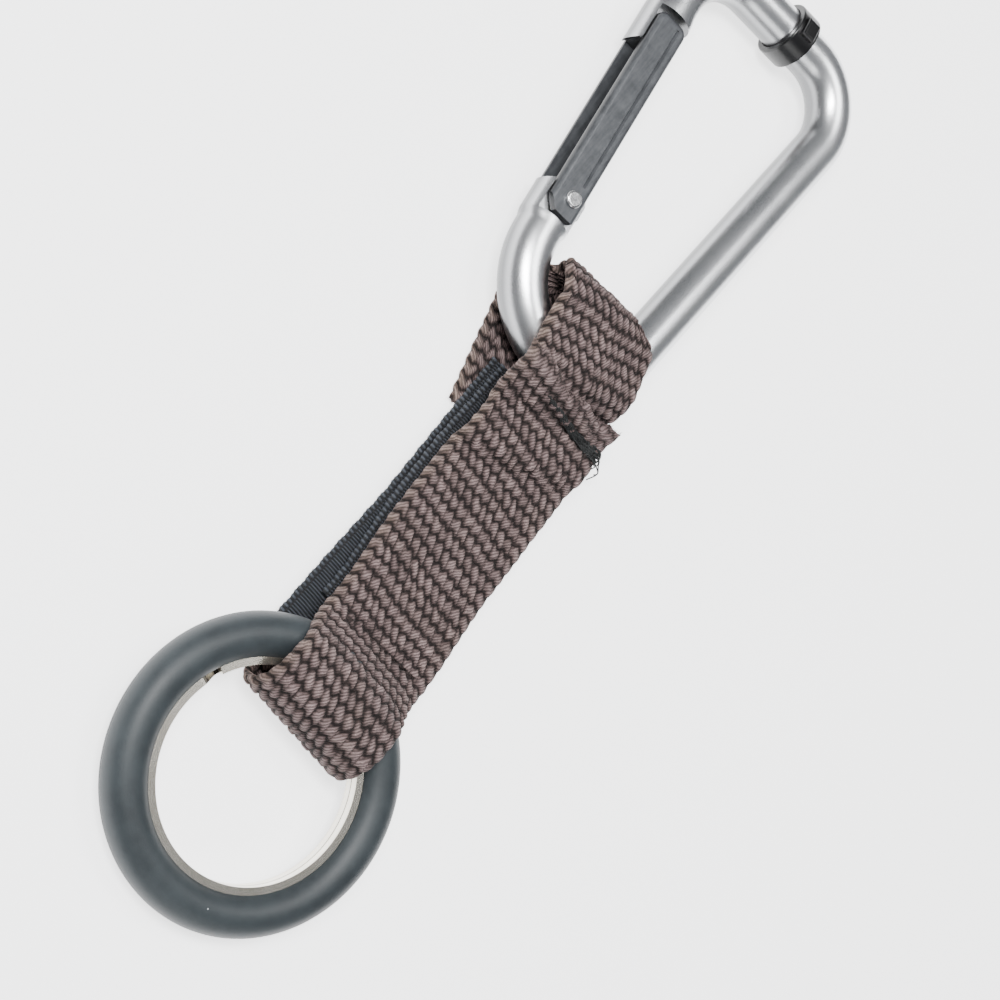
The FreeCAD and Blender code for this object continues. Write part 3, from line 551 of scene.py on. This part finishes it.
# ------------------------------------------------------------------ backing tapes
def tape(name, x_left, x_right, y0, y1, z, thick, seed, chain):
    u = np.concatenate([np.linspace(0, 1.4, 13)[:-1], np.linspace(1.4, 18.6, 22), np.linspace(18.6, 20, 13)[1:]]) / 20
    v = np.arange(y0, y1 + 0.001, 0.085)
    Ug, Vg = np.meshgrid(u, v)
    xl = x_left(v)[:, None]
    xr = x_right(v)[:, None]
    X = xl + (xr - xl) * Ug
    P = np.stack([X, Vg, np.full_like(X, z) + 0.05 * (vnoise(Vg * 0.2, Ug * 3, seed) - 0.5)], axis=-1)
    d = np.minimum(Ug, 1 - Ug) * 20
    ribs = 0.5 + 0.5 * np.cos(2 * math.pi * Vg / 0.46 + 0.4 * np.sin(Ug * 40))
    bead = 0.5 + 0.5 * np.cos(2 * math.pi * Vg / chain)
    near = smooth(-d, -0.95, -0.65)
    h = ribs * (1 - near) + (0.25 + 0.75 * bead) * near
    groove = np.exp(-(((d - 0.85) / 0.12) ** 2))
    h = h * (1 - 0.8 * groove)
    taper = np.sqrt(np.clip(1 - np.clip((0.42 - d) / 0.42, 0, 1) ** 2, 0, 1))
    t = (thick / 2 - 0.19 * (1 - h)) * taper
    P[..., 0] += np.where(Ug < 0.5, -1, 1) * (0.10 * (bead - 0.5) + 0.07 * np.sin(2 * math.pi * Vg / 3.1)) * smooth(-d, -0.5, 0)
    at = np.stack([Ug * 20, Vg, h, fract_hash(np.floor(Vg / 0.46), 0.0 * Vg, seed)], axis=-1)
    return shell(name, P, t, t, at, at)


yl = [-38.8, -26, -14, -3, 13]
lower_tape = tape("tape_lower", lambda v: np.interp(v, yl, [-12.0, -11.9, -11.6, -11.9, -12.3]), lambda v: np.interp(v, yl, [8.4, 8.6, 8.6, 8.3, 7.9]), -38.8, 13.0, 2.10, 0.68, 3.0, 0.8)
upper_tape = tape("tape_upper", lambda v: np.interp(v, yl, [-9.1, -9.2, -10.6, -11.2, -10.9]), lambda v: np.interp(v, yl, [9.6, 9.9, 9.9, 9.8, 9.9]), -31.0, 13.0, 2.85, 0.68, 5.0, 0.8)

# ------------------------------------------------------------------ threads
rng = np.random.default_rng(7)


def top_at(x, y):
    return front_z(np.asarray(x, float), np.asarray(y, float)) + WEB_T / 2


def along_tack(a, off):
    d = TACK_B - TACK_A
    L = np.linalg.norm(d)
    d = d / L
    return TACK_A[0] + d[0] * a - d[1] * off, TACK_A[1] + d[1] * a + d[0] * off


lines, radii = [], []
for k in range(17):
    lane = (k / 16 - 0.5) * 2
    a0 = rng.uniform(0.0, 4.5) if abs(lane) > 0.35 else rng.uniform(-0.2, 2.0)
    a1 = 14.6 + rng.uniform(-0.8, 0.3)
    a = np.linspace(a0, a1, 26)
    spread = 0.08 + 0.95 * (np.clip(a, 0, None) / 14.6) ** 1.7
    off = lane * spread + 0.10 * np.sin(a * rng.uniform(1.2, 2.2) + rng.uniform(0, 6))
    x, y = along_tack(a, off)
    lift = 0.26 + 0.22 * (1 - lane ** 2) + 0.16 * np.sin(a * 1.9 + k * 1.7) - 0.20 * smooth(a, 5.0, 12.0)
    ends = np.minimum((a - a0) / 0.5, (a1 - a) / 0.5)
    z = top_at(x, y) - 0.22 + lift - 0.55 * np.clip(1 - ends, 0, 1)
    lines.append(np.stack([x, y, z], axis=-1))
    radii.append(0.15)
for k in range(9):   # cross stitches at the right end
    a = 11.2 + k * 0.42
    off = np.linspace(-1.05, 1.05, 9)
    x, y = along_tack(a + 0.12 * np.sin(off * 3 + k), off)
    z = top_at(x, y) + 0.16 - 0.75 * (np.abs(off) / 1.05) ** 3
    lines.append(np.stack([x, y, z], axis=-1))
    radii.append(0.15)
bartack = tubes("bartack_stitching", lines, radii)
lines, radii = [], []
for k, (dx, dy, dz) in enumerate(((3.9, 0.1, -3.6), (4.6, -0.9, -4.6), (3.4, -0.6, -3.0), (2.6, 0.7, -2.2))):
    t = np.linspace(0, 1, 18)
    x0, y0 = along_tack(13.6 - k * 0.3, -0.3 + 0.25 * k)
    x = x0 + dx * t + 0.25 * np.sin(t * 9 + k)
    y = y0 + dy * t + 0.30 * np.sin(t * 7 + 2 * k)
    z0 = float(top_at(x0, y0)) + 0.05
    z = z0 + 0.5 * np.sin(t * math.pi) + dz * t ** 3
    lines.append(np.stack([x, y, z], axis=-1))
    radii.append(0.10)
loose = tubes("bartack_loose_ends", lines, radii, sides=6)

lines, radii = [], []
for k in range(7):
    x0 = -5.0 + k * 2.1
    t = np.linspace(0, 1, 12)
    x = x0 + 1.8 * t
    y = -31.1 + 0.125 * x + 0.05 * np.sin(k * 2.0 + t * 3)
    base = []
    for xi, yi in zip(x, y):
        col = main[int(np.argmin(np.abs(U_FINE * 1.02 + 1.95 - xi)))]
        ok = (col[:, 2] > 3.0) & (col[:, 1] < -25)
        o = np.argsort(col[ok][:, 1])
        base.append(np.interp(yi, col[ok][o, 1], col[ok][o, 2]))
    z = np.array(base) + WEB_T / 2 - 0.24 - 0.45 * np.abs(2 * t - 1) ** 4
    lines.append(np.stack([x, y, z], axis=-1))
    radii.append(0.19)
seam = tubes("ring_seam_stitching", lines, radii)

# fibres that stand out of the cut ends and the selvedges
lines, radii = [], []


def fibre(p, d, length, curl, r):
    t = np.linspace(0, 1, 8)
    d = np.asarray(d, float)
    d = d / np.linalg.norm(d)
    side = np.cross(d, rng.normal(size=3))
    side /= np.linalg.norm(side)
    pts = np.asarray(p, float) + d * (length * t)[:, None] + side * (curl * t ** 2)[:, None]
    pts[:, 2] = np.maximum(pts[:, 2], 0.08)
    lines.append(pts)
    radii.append(np.linspace(r, r * 0.5, 8))


for k in range(120):
    xl = rng.uniform(-HALF, HALF) - REAR_SHIFT
    p = (LOOP_AT[0] + xl * EX[0] - 12.3 * EY[0], LOOP_AT[1] + xl * EX[1] - 12.3 * EY[1], rng.uniform(0.25, 1.5))
    fibre(p, (-EY[0] + rng.normal() * 0.45, -EY[1] + rng.normal() * 0.45, rng.normal() * 0.25), rng.uniform(0.7, 1.9), rng.uniform(-0.5, 0.5), 0.045)
rear_fuzz = tubes("rear_end_fibres", lines, radii, sides=4)
lines, radii = [], []
for k in range(90):
    u = rng.uniform(-HALF, HALF)
    i = int(np.argmin(np.abs(U_FINE - u)))
    p = Pf[-3, i] + np.array([0, 0, rng.uniform(-0.3, 0.5)])
    fibre(p, (rng.normal() * 0.5, 1.0, 0.15 + rng.normal() * 0.25), rng.uniform(0.35, 0.9), rng.uniform(-0.3, 0.3), 0.045)
flap_fuzz = tubes("flap_end_fibres", lines, radii, sides=4)


# ------------------------------------------------------------------ materials
class Nodes:
    def __init__(self, name):
        self.mat = bpy.data.materials.new(name)
        self.mat.use_nodes = True
        self.nt = self.mat.node_tree
        self.nt.nodes.clear()
        self.out = self.nt.nodes.new("ShaderNodeOutputMaterial")
        self.bsdf = self.nt.nodes.new("ShaderNodeBsdfPrincipled")
        self.nt.links.new(self.bsdf.outputs[0], self.out.inputs[0])

    def set(self, **kw):
        for k, v in kw.items():
            self.bsdf.inputs[k.replace("_", " ")].default_value = v
        return self

    def feed(self, value, socket):
        if isinstance(value, bpy.types.NodeSocket):
            self.nt.links.new(value, socket)
        elif value is not None:
            socket.default_value = value

    def node(self, kind, ins=None, out=0, **props):
        n = self.nt.nodes.new(kind)
        for k, v in props.items():
            setattr(n, k, v)
        for k, v in (ins or {}).items():
            self.feed(v, n.inputs[k])
        return n.outputs[out]

    def math(self, op, a, b=None, c=None, clamp=False):
        return self.node("ShaderNodeMath", {k: v for k, v in ((0, a), (1, b), (2, c)) if v is not None}, operation=op, use_clamp=clamp)

    def vmath(self, op, a, b=None, scale=None, out=0):
        ins = {0: a}
        if b is not None:
            ins[1] = b
        if scale is not None:
            ins["Scale"] = scale
        return self.node("ShaderNodeVectorMath", ins, out=out, operation=op)

    def attribute(self, name, out="Vector"):
        n = self.nt.nodes.new("ShaderNodeAttribute")
        n.attribute_type = "GEOMETRY"
        n.attribute_name = name
        return n.outputs[out]

    def coords(self):
        return self.node("ShaderNodeTexCoord", out="Object")

    def noise(self, vec, scale, detail=2.0, rough=0.5, out=0):
        return self.node("ShaderNodeTexNoise", {"Vector": vec, "Scale": scale, "Detail": detail, "Roughness": rough}, out=out)

    def ramp(self, fac, stops):
        n = self.nt.nodes.new("ShaderNodeValToRGB")
        cr = n.color_ramp
        while len(cr.elements) < len(stops):
            cr.elements.new(0.5)
        for e, (p, c) in zip(cr.elements, stops):
            e.position = p
            e.color = (*c, 1.0) if len(c) == 3 else c
        self.feed(fac, n.inputs[0])
        return n.outputs[0]

    def mix(self, fac, a, b, mode="MIX"):
        n = self.nt.nodes.new("ShaderNodeMix")
        n.data_type = "RGBA"
        n.blend_type = mode
        self.feed(fac, n.inputs[0])
        for s, v in ((6, a), (7, b)):
            self.feed((*v, 1.0) if isinstance(v, tuple) and len(v) == 3 else v, n.inputs[s])
        return n.outputs[2]

    def bump(self, height, distance, strength=1.0, normal=None):
        ins = {"Height": height, "Distance": distance, "Strength": strength}
        if normal is not None:
            ins["Normal"] = normal
        return self.node("ShaderNodeBump", ins)

    def to(self, socket, value):
        self.nt.links.new(value, self.bsdf.inputs[socket])


def webbing_material():
    n = Nodes("webbing_taupe")
    w = n.attribute("weave")
    tone = n.attribute("tone", "Fac")
    sep = n.nt.nodes.new("ShaderNodeSeparateXYZ")
    n.nt.links.new(w, sep.inputs[0])
    u, v, h = sep.outputs
    flat = n.node("ShaderNodeCombineXYZ", {0: u, 1: v})
    wob = n.noise(flat, 0.9, 2.0)
    # strands of the yarn, oblique to the strap
    d = n.math("ADD", n.math("MULTIPLY", u, 0.80), n.math("MULTIPLY", v, -0.60))
    phase = n.math("ADD", n.math("MULTIPLY", d, 2 * math.pi / 0.42), n.math("MULTIPLY", wob, 9.0))
    phase = n.math("ADD", phase, n.math("MULTIPLY", tone, 6.0))
    strand = n.math("MULTIPLY_ADD", n.math("SINE", phase), 0.5, 0.5)
    fuzz = n.noise(flat, 7.0, 3.0, 0.65)
    # painted shade: the colour darkens with the weave's height, deepest in the crevices between rows and between knots
    base = n.ramp(h, [(0.0, (0.006, 0.0038, 0.0035)), (0.30, (0.026, 0.0175, 0.0165)), (0.62, (0.120, 0.085, 0.082)), (1.0, (0.235, 0.172, 0.167))])
    big = n.noise(flat, 0.16, 3.0, 0.6)
    tint = n.ramp(big, [(0.30, (0.86, 0.84, 0.85)), (0.5, (1.0, 1.0, 1.0)), (0.72, (1.10, 1.10, 1.06))])
    col = n.mix(1.0, base, tint, "MULTIPLY")
    shade = n.math("MULTIPLY_ADD", strand, 0.85, 0.45)
    shade = n.math("MULTIPLY", shade, n.math("MULTIPLY_ADD", tone, 0.22, 0.88))
    shade = n.math("MULTIPLY", shade, n.math("MULTIPLY_ADD", fuzz, 1.3, 0.35))
    grey = n.node("ShaderNodeCombineColor", {0: shade, 1: shade, 2: shade})
    col = n.mix(1.0, col, grey, "MULTIPLY")
    left = n.math("MULTIPLY", n.math("SUBTRACT", -8.3, u), 0.8, clamp=True)
    olive = n.math("MULTIPLY", left, n.math("MULTIPLY", n.noise(flat, 0.55, 2.0), 1.1), clamp=True)
    col = n.mix(olive, col, n.mix(1.0, col, (1.0, 1.0, 0.84), "MULTIPLY"))
    n.to("Base Color", col)
    hgt = n.math("ADD", n.math("MULTIPLY", strand, 0.75), n.math("MULTIPLY", fuzz, 0.9))
    n.to("Normal", n.bump(hgt, 0.00013, 1.0))
    n.to("Roughness", n.math("MULTIPLY_ADD", fuzz, 0.25, 0.68))
    n.set(Sheen_Weight=0.08, Sheen_Roughness=0.45, Sheen_Tint=(0.75, 0.68, 0.66, 1.0), Specular_IOR_Level=0.25)
    return n.mat


def tape_material():
    n = Nodes("tape_black")
    w = n.attribute("weave")
    tone = n.attribute("tone", "Fac")
    sep = n.nt.nodes.new("ShaderNodeSeparateXYZ")
    n.nt.links.new(w, sep.inputs[0])
    u, v, h = sep.outputs
    flat = n.node("ShaderNodeCombineXYZ", {0: u, 1: v})
    # painted shade: the colour darkens with the tape's height, between the ribs and in the groove by each edge
    base = n.ramp(h, [(0.0, (0.0012, 0.0013, 0.0017)), (0.45, (0.0045, 0.0052, 0.0072)), (1.0, (0.050, 0.057, 0.070))])
    fuzz = n.noise(flat, 6.0, 3.0, 0.6)
    sh = n.math("MULTIPLY", n.math("MULTIPLY_ADD", fuzz, 0.7, 0.65), n.math("MULTIPLY_ADD", tone, 0.25, 0.87))
    col = n.mix(1.0, base, n.node("ShaderNodeCombineColor", {0: sh, 1: sh, 2: sh}), "MULTIPLY")
    n.to("Base Color", col)
    strand = n.math("SINE", n.math("MULTIPLY", u, 2 * math.pi / 0.22))
    n.to("Normal", n.bump(n.math("ADD", n.math("MULTIPLY", strand, 0.4), fuzz), 0.00005, 0.8))
    n.to("Roughness", n.math("MULTIPLY_ADD", fuzz, 0.2, 0.45))
    n.set(Sheen_Weight=0.04, Sheen_Roughness=0.4, Sheen_Tint=(0.6, 0.65, 0.75, 1.0), Specular_IOR_Level=0.35)
    return n.mat


def thread_material(name, dark, light, rough):
    n = Nodes(name)
    w = n.attribute("weave")
    tone = n.attribute("tone", "Fac")
    sep = n.nt.nodes.new("ShaderNodeSeparateXYZ")
    n.nt.links.new(w, sep.inputs[0])
    a, s, _ = sep.outputs
    ph = n.math("ADD", n.math("MULTIPLY", a, 2 * math.pi * 2), n.math("MULTIPLY", s, 2 * math.pi / 0.55))
    ply = n.math("MULTIPLY_ADD", n.math("SINE", ph), 0.5, 0.5)
    t = n.math("MULTIPLY", n.math("ADD", ply, tone), 0.5)
    n.to("Base Color", n.ramp(t, [(0.1, dark), (0.9, light)]))
    n.to("Normal", n.bump(ply, 0.00004, 0.9))
    n.to("Roughness", n.math("MULTIPLY_ADD", ply, 0.15, rough))
    n.set(Specular_IOR_Level=0.3)
    return n.mat


def silver_material():
    n = Nodes("anodised_silver")
    c = n.coords()
    grain = n.noise(c, 9000, 3.0, 0.6)
    cloud = n.noise(c, 120, 3.0, 0.5)
    tint = n.ramp(cloud, [(0.35, (0.78, 0.79, 0.81)), (0.65, (0.86, 0.87, 0.885))])
    # painted shade: the base colour darkens where the surface faces sideways, and is full on the upper face
    face = n.nt.nodes.new("ShaderNodeSeparateXYZ")
    n.nt.links.new(n.node("ShaderNodeTexCoord", out="Normal"), face.inputs[0])
    side_painted_shade = n.node("ShaderNodeMapRange", {0: face.outputs[2], 1: 0.10, 2: 0.88, 3: 0.24, 4: 1.0})
    n.to("Base Color", n.mix(1.0, tint, n.node("ShaderNodeCombineColor", {0: side_painted_shade, 1: side_painted_shade, 2: side_painted_shade}), "MULTIPLY"))
    n.to("Roughness", n.math("MULTIPLY_ADD", grain, 0.14, n.math("MULTIPLY_ADD", cloud, 0.06, 0.19)))
    fine = n.bump(grain, 0.000012, 0.55)
    # a few short handling scratches
    st = n.vmath("MULTIPLY", c, (900.0, 140.0, 900.0))
    scr = n.math("SUBTRACT", n.noise(st, 1.0, 1.0, 0.4), 0.70, clamp=True)
    n.to("Normal", n.bump(scr, 0.00006, 0.35, fine))
    n.set(Metallic=1.0)
    return n.mat


def black_anodised_material():
    n = Nodes("anodised_black")
    c = n.coords()
    grain = n.noise(c, 7000, 3.0, 0.6)
    streak = n.noise(n.vmath("MULTIPLY", c, (2600.0, 260.0, 2600.0)), 1.0, 3.0, 0.6)
    worn = n.noise(c, 420, 4.0, 0.65)
    tint = n.ramp(n.math("MULTIPLY_ADD", worn, 0.6, n.math("MULTIPLY", streak, 0.4)), [(0.36, (0.055, 0.0585, 0.064)), (0.62, (0.098, 0.103, 0.111))])
    # painted shade: the base colour darkens where the surface faces sideways, and is full on the upper face
    face = n.nt.nodes.new("ShaderNodeSeparateXYZ")
    n.nt.links.new(n.node("ShaderNodeTexCoord", out="Normal"), face.inputs[0])
    side_painted_shade = n.node("ShaderNodeMapRange", {0: face.outputs[2], 1: 0.20, 2: 0.90, 3: 0.16, 4: 1.0})
    n.to("Base Color", n.mix(1.0, tint, n.node("ShaderNodeCombineColor", {0: side_painted_shade, 1: side_painted_shade, 2: side_painted_shade}), "MULTIPLY"))
    n.to("Roughness", n.math("MULTIPLY_ADD", streak, 0.16, 0.29))
    n.to("Normal", n.bump(n.math("ADD", grain, streak), 0.000012, 0.5))
    n.set(Metallic=0.35, Specular_IOR_Level=0.6)
    return n.mat


def rubber_material():
    n = Nodes("ring_rubber")
    c = n.coords()
    # the ring's own frame: its axis leans from Z by the ring's tilt
    rel = n.vmath("SUBTRACT", c, (0.00537, -0.06366, 0.00455))
    axis = Vector((0.0, -0.0718, 0.9974))
    level = n.vmath("DOT_PRODUCT", rel, tuple(axis), out="Value")
    grain = n.noise(c, 5200, 3.0, 0.6)
    cloud = n.noise(c, 210, 4.0, 0.6)
    base = n.ramp(cloud, [(0.32, (0.019, 0.0245, 0.028)), (0.68, (0.029, 0.037, 0.0415))])
    vor = n.nt.nodes.new("ShaderNodeTexVoronoi")
    vor.inputs["Scale"].default_value = 420.0
    n.nt.links.new(c, vor.inputs["Vector"])
    pick = n.node("ShaderNodeSeparateColor", {0: vor.outputs["Color"]})
    speck = n.math("MULTIPLY", n.math("LESS_THAN", vor.outputs["Distance"], 0.062), n.math("GREATER_THAN", pick, 0.86))
    base = n.mix(speck, base, (0.42, 0.44, 0.46))
    line = n.math("LESS_THAN", n.math("ABSOLUTE", n.math("ADD", level, 0.00045)), 0.00007)
    base = n.mix(n.math("MULTIPLY", line, 0.6), base, (0.014, 0.018, 0.021))
    n.to("Base Color", base)
    n.to("Roughness", n.math("MULTIPLY_ADD", cloud, 0.16, 0.42))
    fine = n.bump(grain, 0.00002, 0.55)
    soft = n.bump(n.noise(c, 900, 2.0), 0.00003, 0.5, fine)
    seamline = n.math("SUBTRACT", 1.0, n.math("MULTIPLY", n.math("ABSOLUTE", n.math("ADD", level, 0.00045)), 6500.0), clamp=True)
    n.to("Normal", n.bump(seamline, 0.00008, 0.9, soft))
    n.set(Specular_IOR_Level=0.42, Sheen_Weight=0.06, Sheen_Roughness=0.5)
    return n.mat


def nickel_material():
    n = Nodes("nickel")
    c = n.coords()
    rel = n.vmath("SUBTRACT", c, (0.00537, -0.06366, 0.00455))
    level = n.vmath("DOT_PRODUCT", rel, (0.0, -0.0718, 0.9974), out="Value")
    draw = n.noise(n.node("ShaderNodeCombineXYZ", {0: n.math("MULTIPLY", level, 9000.0), 1: 0.3, 2: 0.7}), 1.0, 2.0)
    cloud = n.noise(c, 300, 3.0)
    plate = n.ramp(cloud, [(0.3, (0.78, 0.735, 0.64)), (0.7, (0.88, 0.835, 0.745))])
    # painted shade in the slit between the two coils and at their rolled edges
    slit = n.math("LESS_THAN", n.math("ABSOLUTE", level), 0.00008)
    rim = n.math("MULTIPLY", n.math("SUBTRACT", n.math("ABSOLUTE", level), 0.00095), 2600.0, clamp=True)
    inner = n.math("MULTIPLY", n.math("SUBTRACT", 0.00034, n.math("ABSOLUTE", level)), 2200.0, clamp=True)
    shade = n.math("MAXIMUM", slit, n.math("MULTIPLY", n.math("MAXIMUM", rim, inner), 0.15))
    n.to("Base Color", n.mix(shade, plate, (0.045, 0.040, 0.033)))
    n.to("Roughness", n.math("MULTIPLY_ADD", draw, 0.14, 0.20))
    n.to("Normal", n.bump(draw, 0.00002, 0.5))
    n.set(Metallic=1.0)
    return n.mat


def steel_material(name, lo, hi, rough):
    n = Nodes(name)
    c = n.coords()
    g = n.noise(c, 2600, 3.0)
    n.to("Base Color", n.ramp(g, [(0.3, lo), (0.7, hi)]))
    n.to("Roughness", n.math("MULTIPLY_ADD", g, 0.14, rough))
    n.to("Normal", n.bump(g, 0.00001, 0.4))
    n.set(Metallic=1.0)
    return n.mat


def plastic_material(name, lo, hi, rough, spec=0.5):
    n = Nodes(name)
    c = n.coords()
    g = n.noise(c, 3000, 3.0)
    cl = n.noise(c, 350, 3.0)
    n.to("Base Color", n.ramp(cl, [(0.3, lo), (0.7, hi)]))
    n.to("Roughness", n.math("MULTIPLY_ADD", g, 0.12, rough))
    n.to("Normal", n.bump(g, 0.000012, 0.4))
    n.set(Specular_IOR_Level=spec)
    return n.mat


def floor_material():
    n = Nodes("floor_paper")
    c = n.coords()
    g = n.noise(c, 1400, 3.0)
    n.to("Base Color", n.ramp(g, [(0.3, (0.835, 0.84, 0.85)), (0.7, (0.855, 0.86, 0.87))]))
    n.set(Roughness=0.9, Specular_IOR_Level=0.1)
    n.set(Emission_Color=(1.0, 1.0, 1.0, 1.0), Emission_Strength=2.2)
    return n.mat


web_mat = webbing_material()
tape_mat = tape_material()
black_thread = thread_material("thread_black", (0.0015, 0.0017, 0.0018), (0.026, 0.028, 0.028), 0.5)
brown_thread = thread_material("thread_brown", (0.009, 0.006, 0.0055), (0.034, 0.023, 0.021), 0.55)
silver, black_metal, rubber, nickel = silver_material(), black_anodised_material(), rubber_material(), nickel_material()
steel = steel_material("rivet_steel", (0.66, 0.66, 0.67), (0.78, 0.78, 0.78), 0.16)
wire = steel_material("spring_steel", (0.38, 0.38, 0.39), (0.55, 0.55, 0.56), 0.22)
plunger_mat = plastic_material("plunger_plastic", (0.008, 0.008, 0.008), (0.016, 0.016, 0.017), 0.45)
band_mat = plastic_material("band_plastic", (0.003, 0.003, 0.0033), (0.0055, 0.0055, 0.006), 0.24, 0.5)


def wear(ob, mat):
    ob.data.materials.clear()
    ob.data.materials.append(mat)


for name, mat in (
    ("carabiner_frame", silver), ("carabiner_gate", black_metal), ("gate_rivet", steel), ("gate_spring", wire),
    ("spring_plunger", plunger_mat), ("tag_band", band_mat), ("rubber_ring_cover", rubber), ("split_ring", nickel),
):
    wear(nodes[name], mat)
for ob in (ring_end, middle, flap, loop, rear_fuzz, flap_fuzz):
    wear(ob, web_mat)
for ob in (lower_tape, upper_tape):
    wear(ob, tape_mat)
for ob in (bartack, loose):
    wear(ob, black_thread)
wear(seam, brown_thread)

# ------------------------------------------------------------------ motion
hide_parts("main_strap")
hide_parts("main_strap")
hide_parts("main_strap")
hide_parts("main_strap")
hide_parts("carabiner_loop_strap")
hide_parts("carabiner_loop_strap")
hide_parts("backing_tape_lower")
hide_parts("backing_tape_upper")
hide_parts("bartack_thread")
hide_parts("bartack_thread")
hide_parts("ring_seam_thread")

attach(middle, "strap")
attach(upper_tape, "strap")
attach(rear_fuzz, "strap")
for ob in (ring_end, lower_tape, seam):
    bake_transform(ob)
for ob in (flap, loop, bartack, loose, flap_fuzz):
    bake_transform(ob)

# ------------------------------------------------------------------ floor and light
s = 1.6
floor = make_object(
    "floor",
    np.array([[-s, -s, -0.00005], [s, -s, -0.00005], [s, s, -0.00005], [-s, s, -0.00005]]),
    np.array([[0, 1, 2, 3]]),
)
wear(floor, floor_material())

world = bpy.data.worlds.new("studio")
bpy.context.scene.world = world
world.use_nodes = True
world.node_tree.nodes["Background"].inputs[0].default_value = (0.93, 0.96, 1.0, 1.0)
world.node_tree.nodes["Background"].inputs[1].default_value = 0.22


def softbox(name, direction, distance, sx, sy, power, target=(0.0, 0.0, 0.0), color=(1, 1, 1)):
    ld = bpy.data.lights.new(name, "AREA")
    ld.shape = "RECTANGLE"
    ld.size, ld.size_y = sx, sy
    ld.energy = power
    ld.color = color
    ob = bpy.data.objects.new(name, ld)
    bpy.context.scene.collection.objects.link(ob)
    d = Vector(direction).normalized()
    ob.location = Vector(target) + d * distance
    ob.rotation_euler = d.to_track_quat("Z", "Y").to_euler()
    return ob


softbox("key", (-0.42, -0.10, 0.90), 0.62, 0.18, 0.30, 6.5)
softbox("overhead", (0.10, 0.35, 0.93), 0.80, 0.40, 0.28, 3.0)
softbox("fill", (0.55, -0.75, 0.50), 0.90, 0.40, 0.40, 1.6)
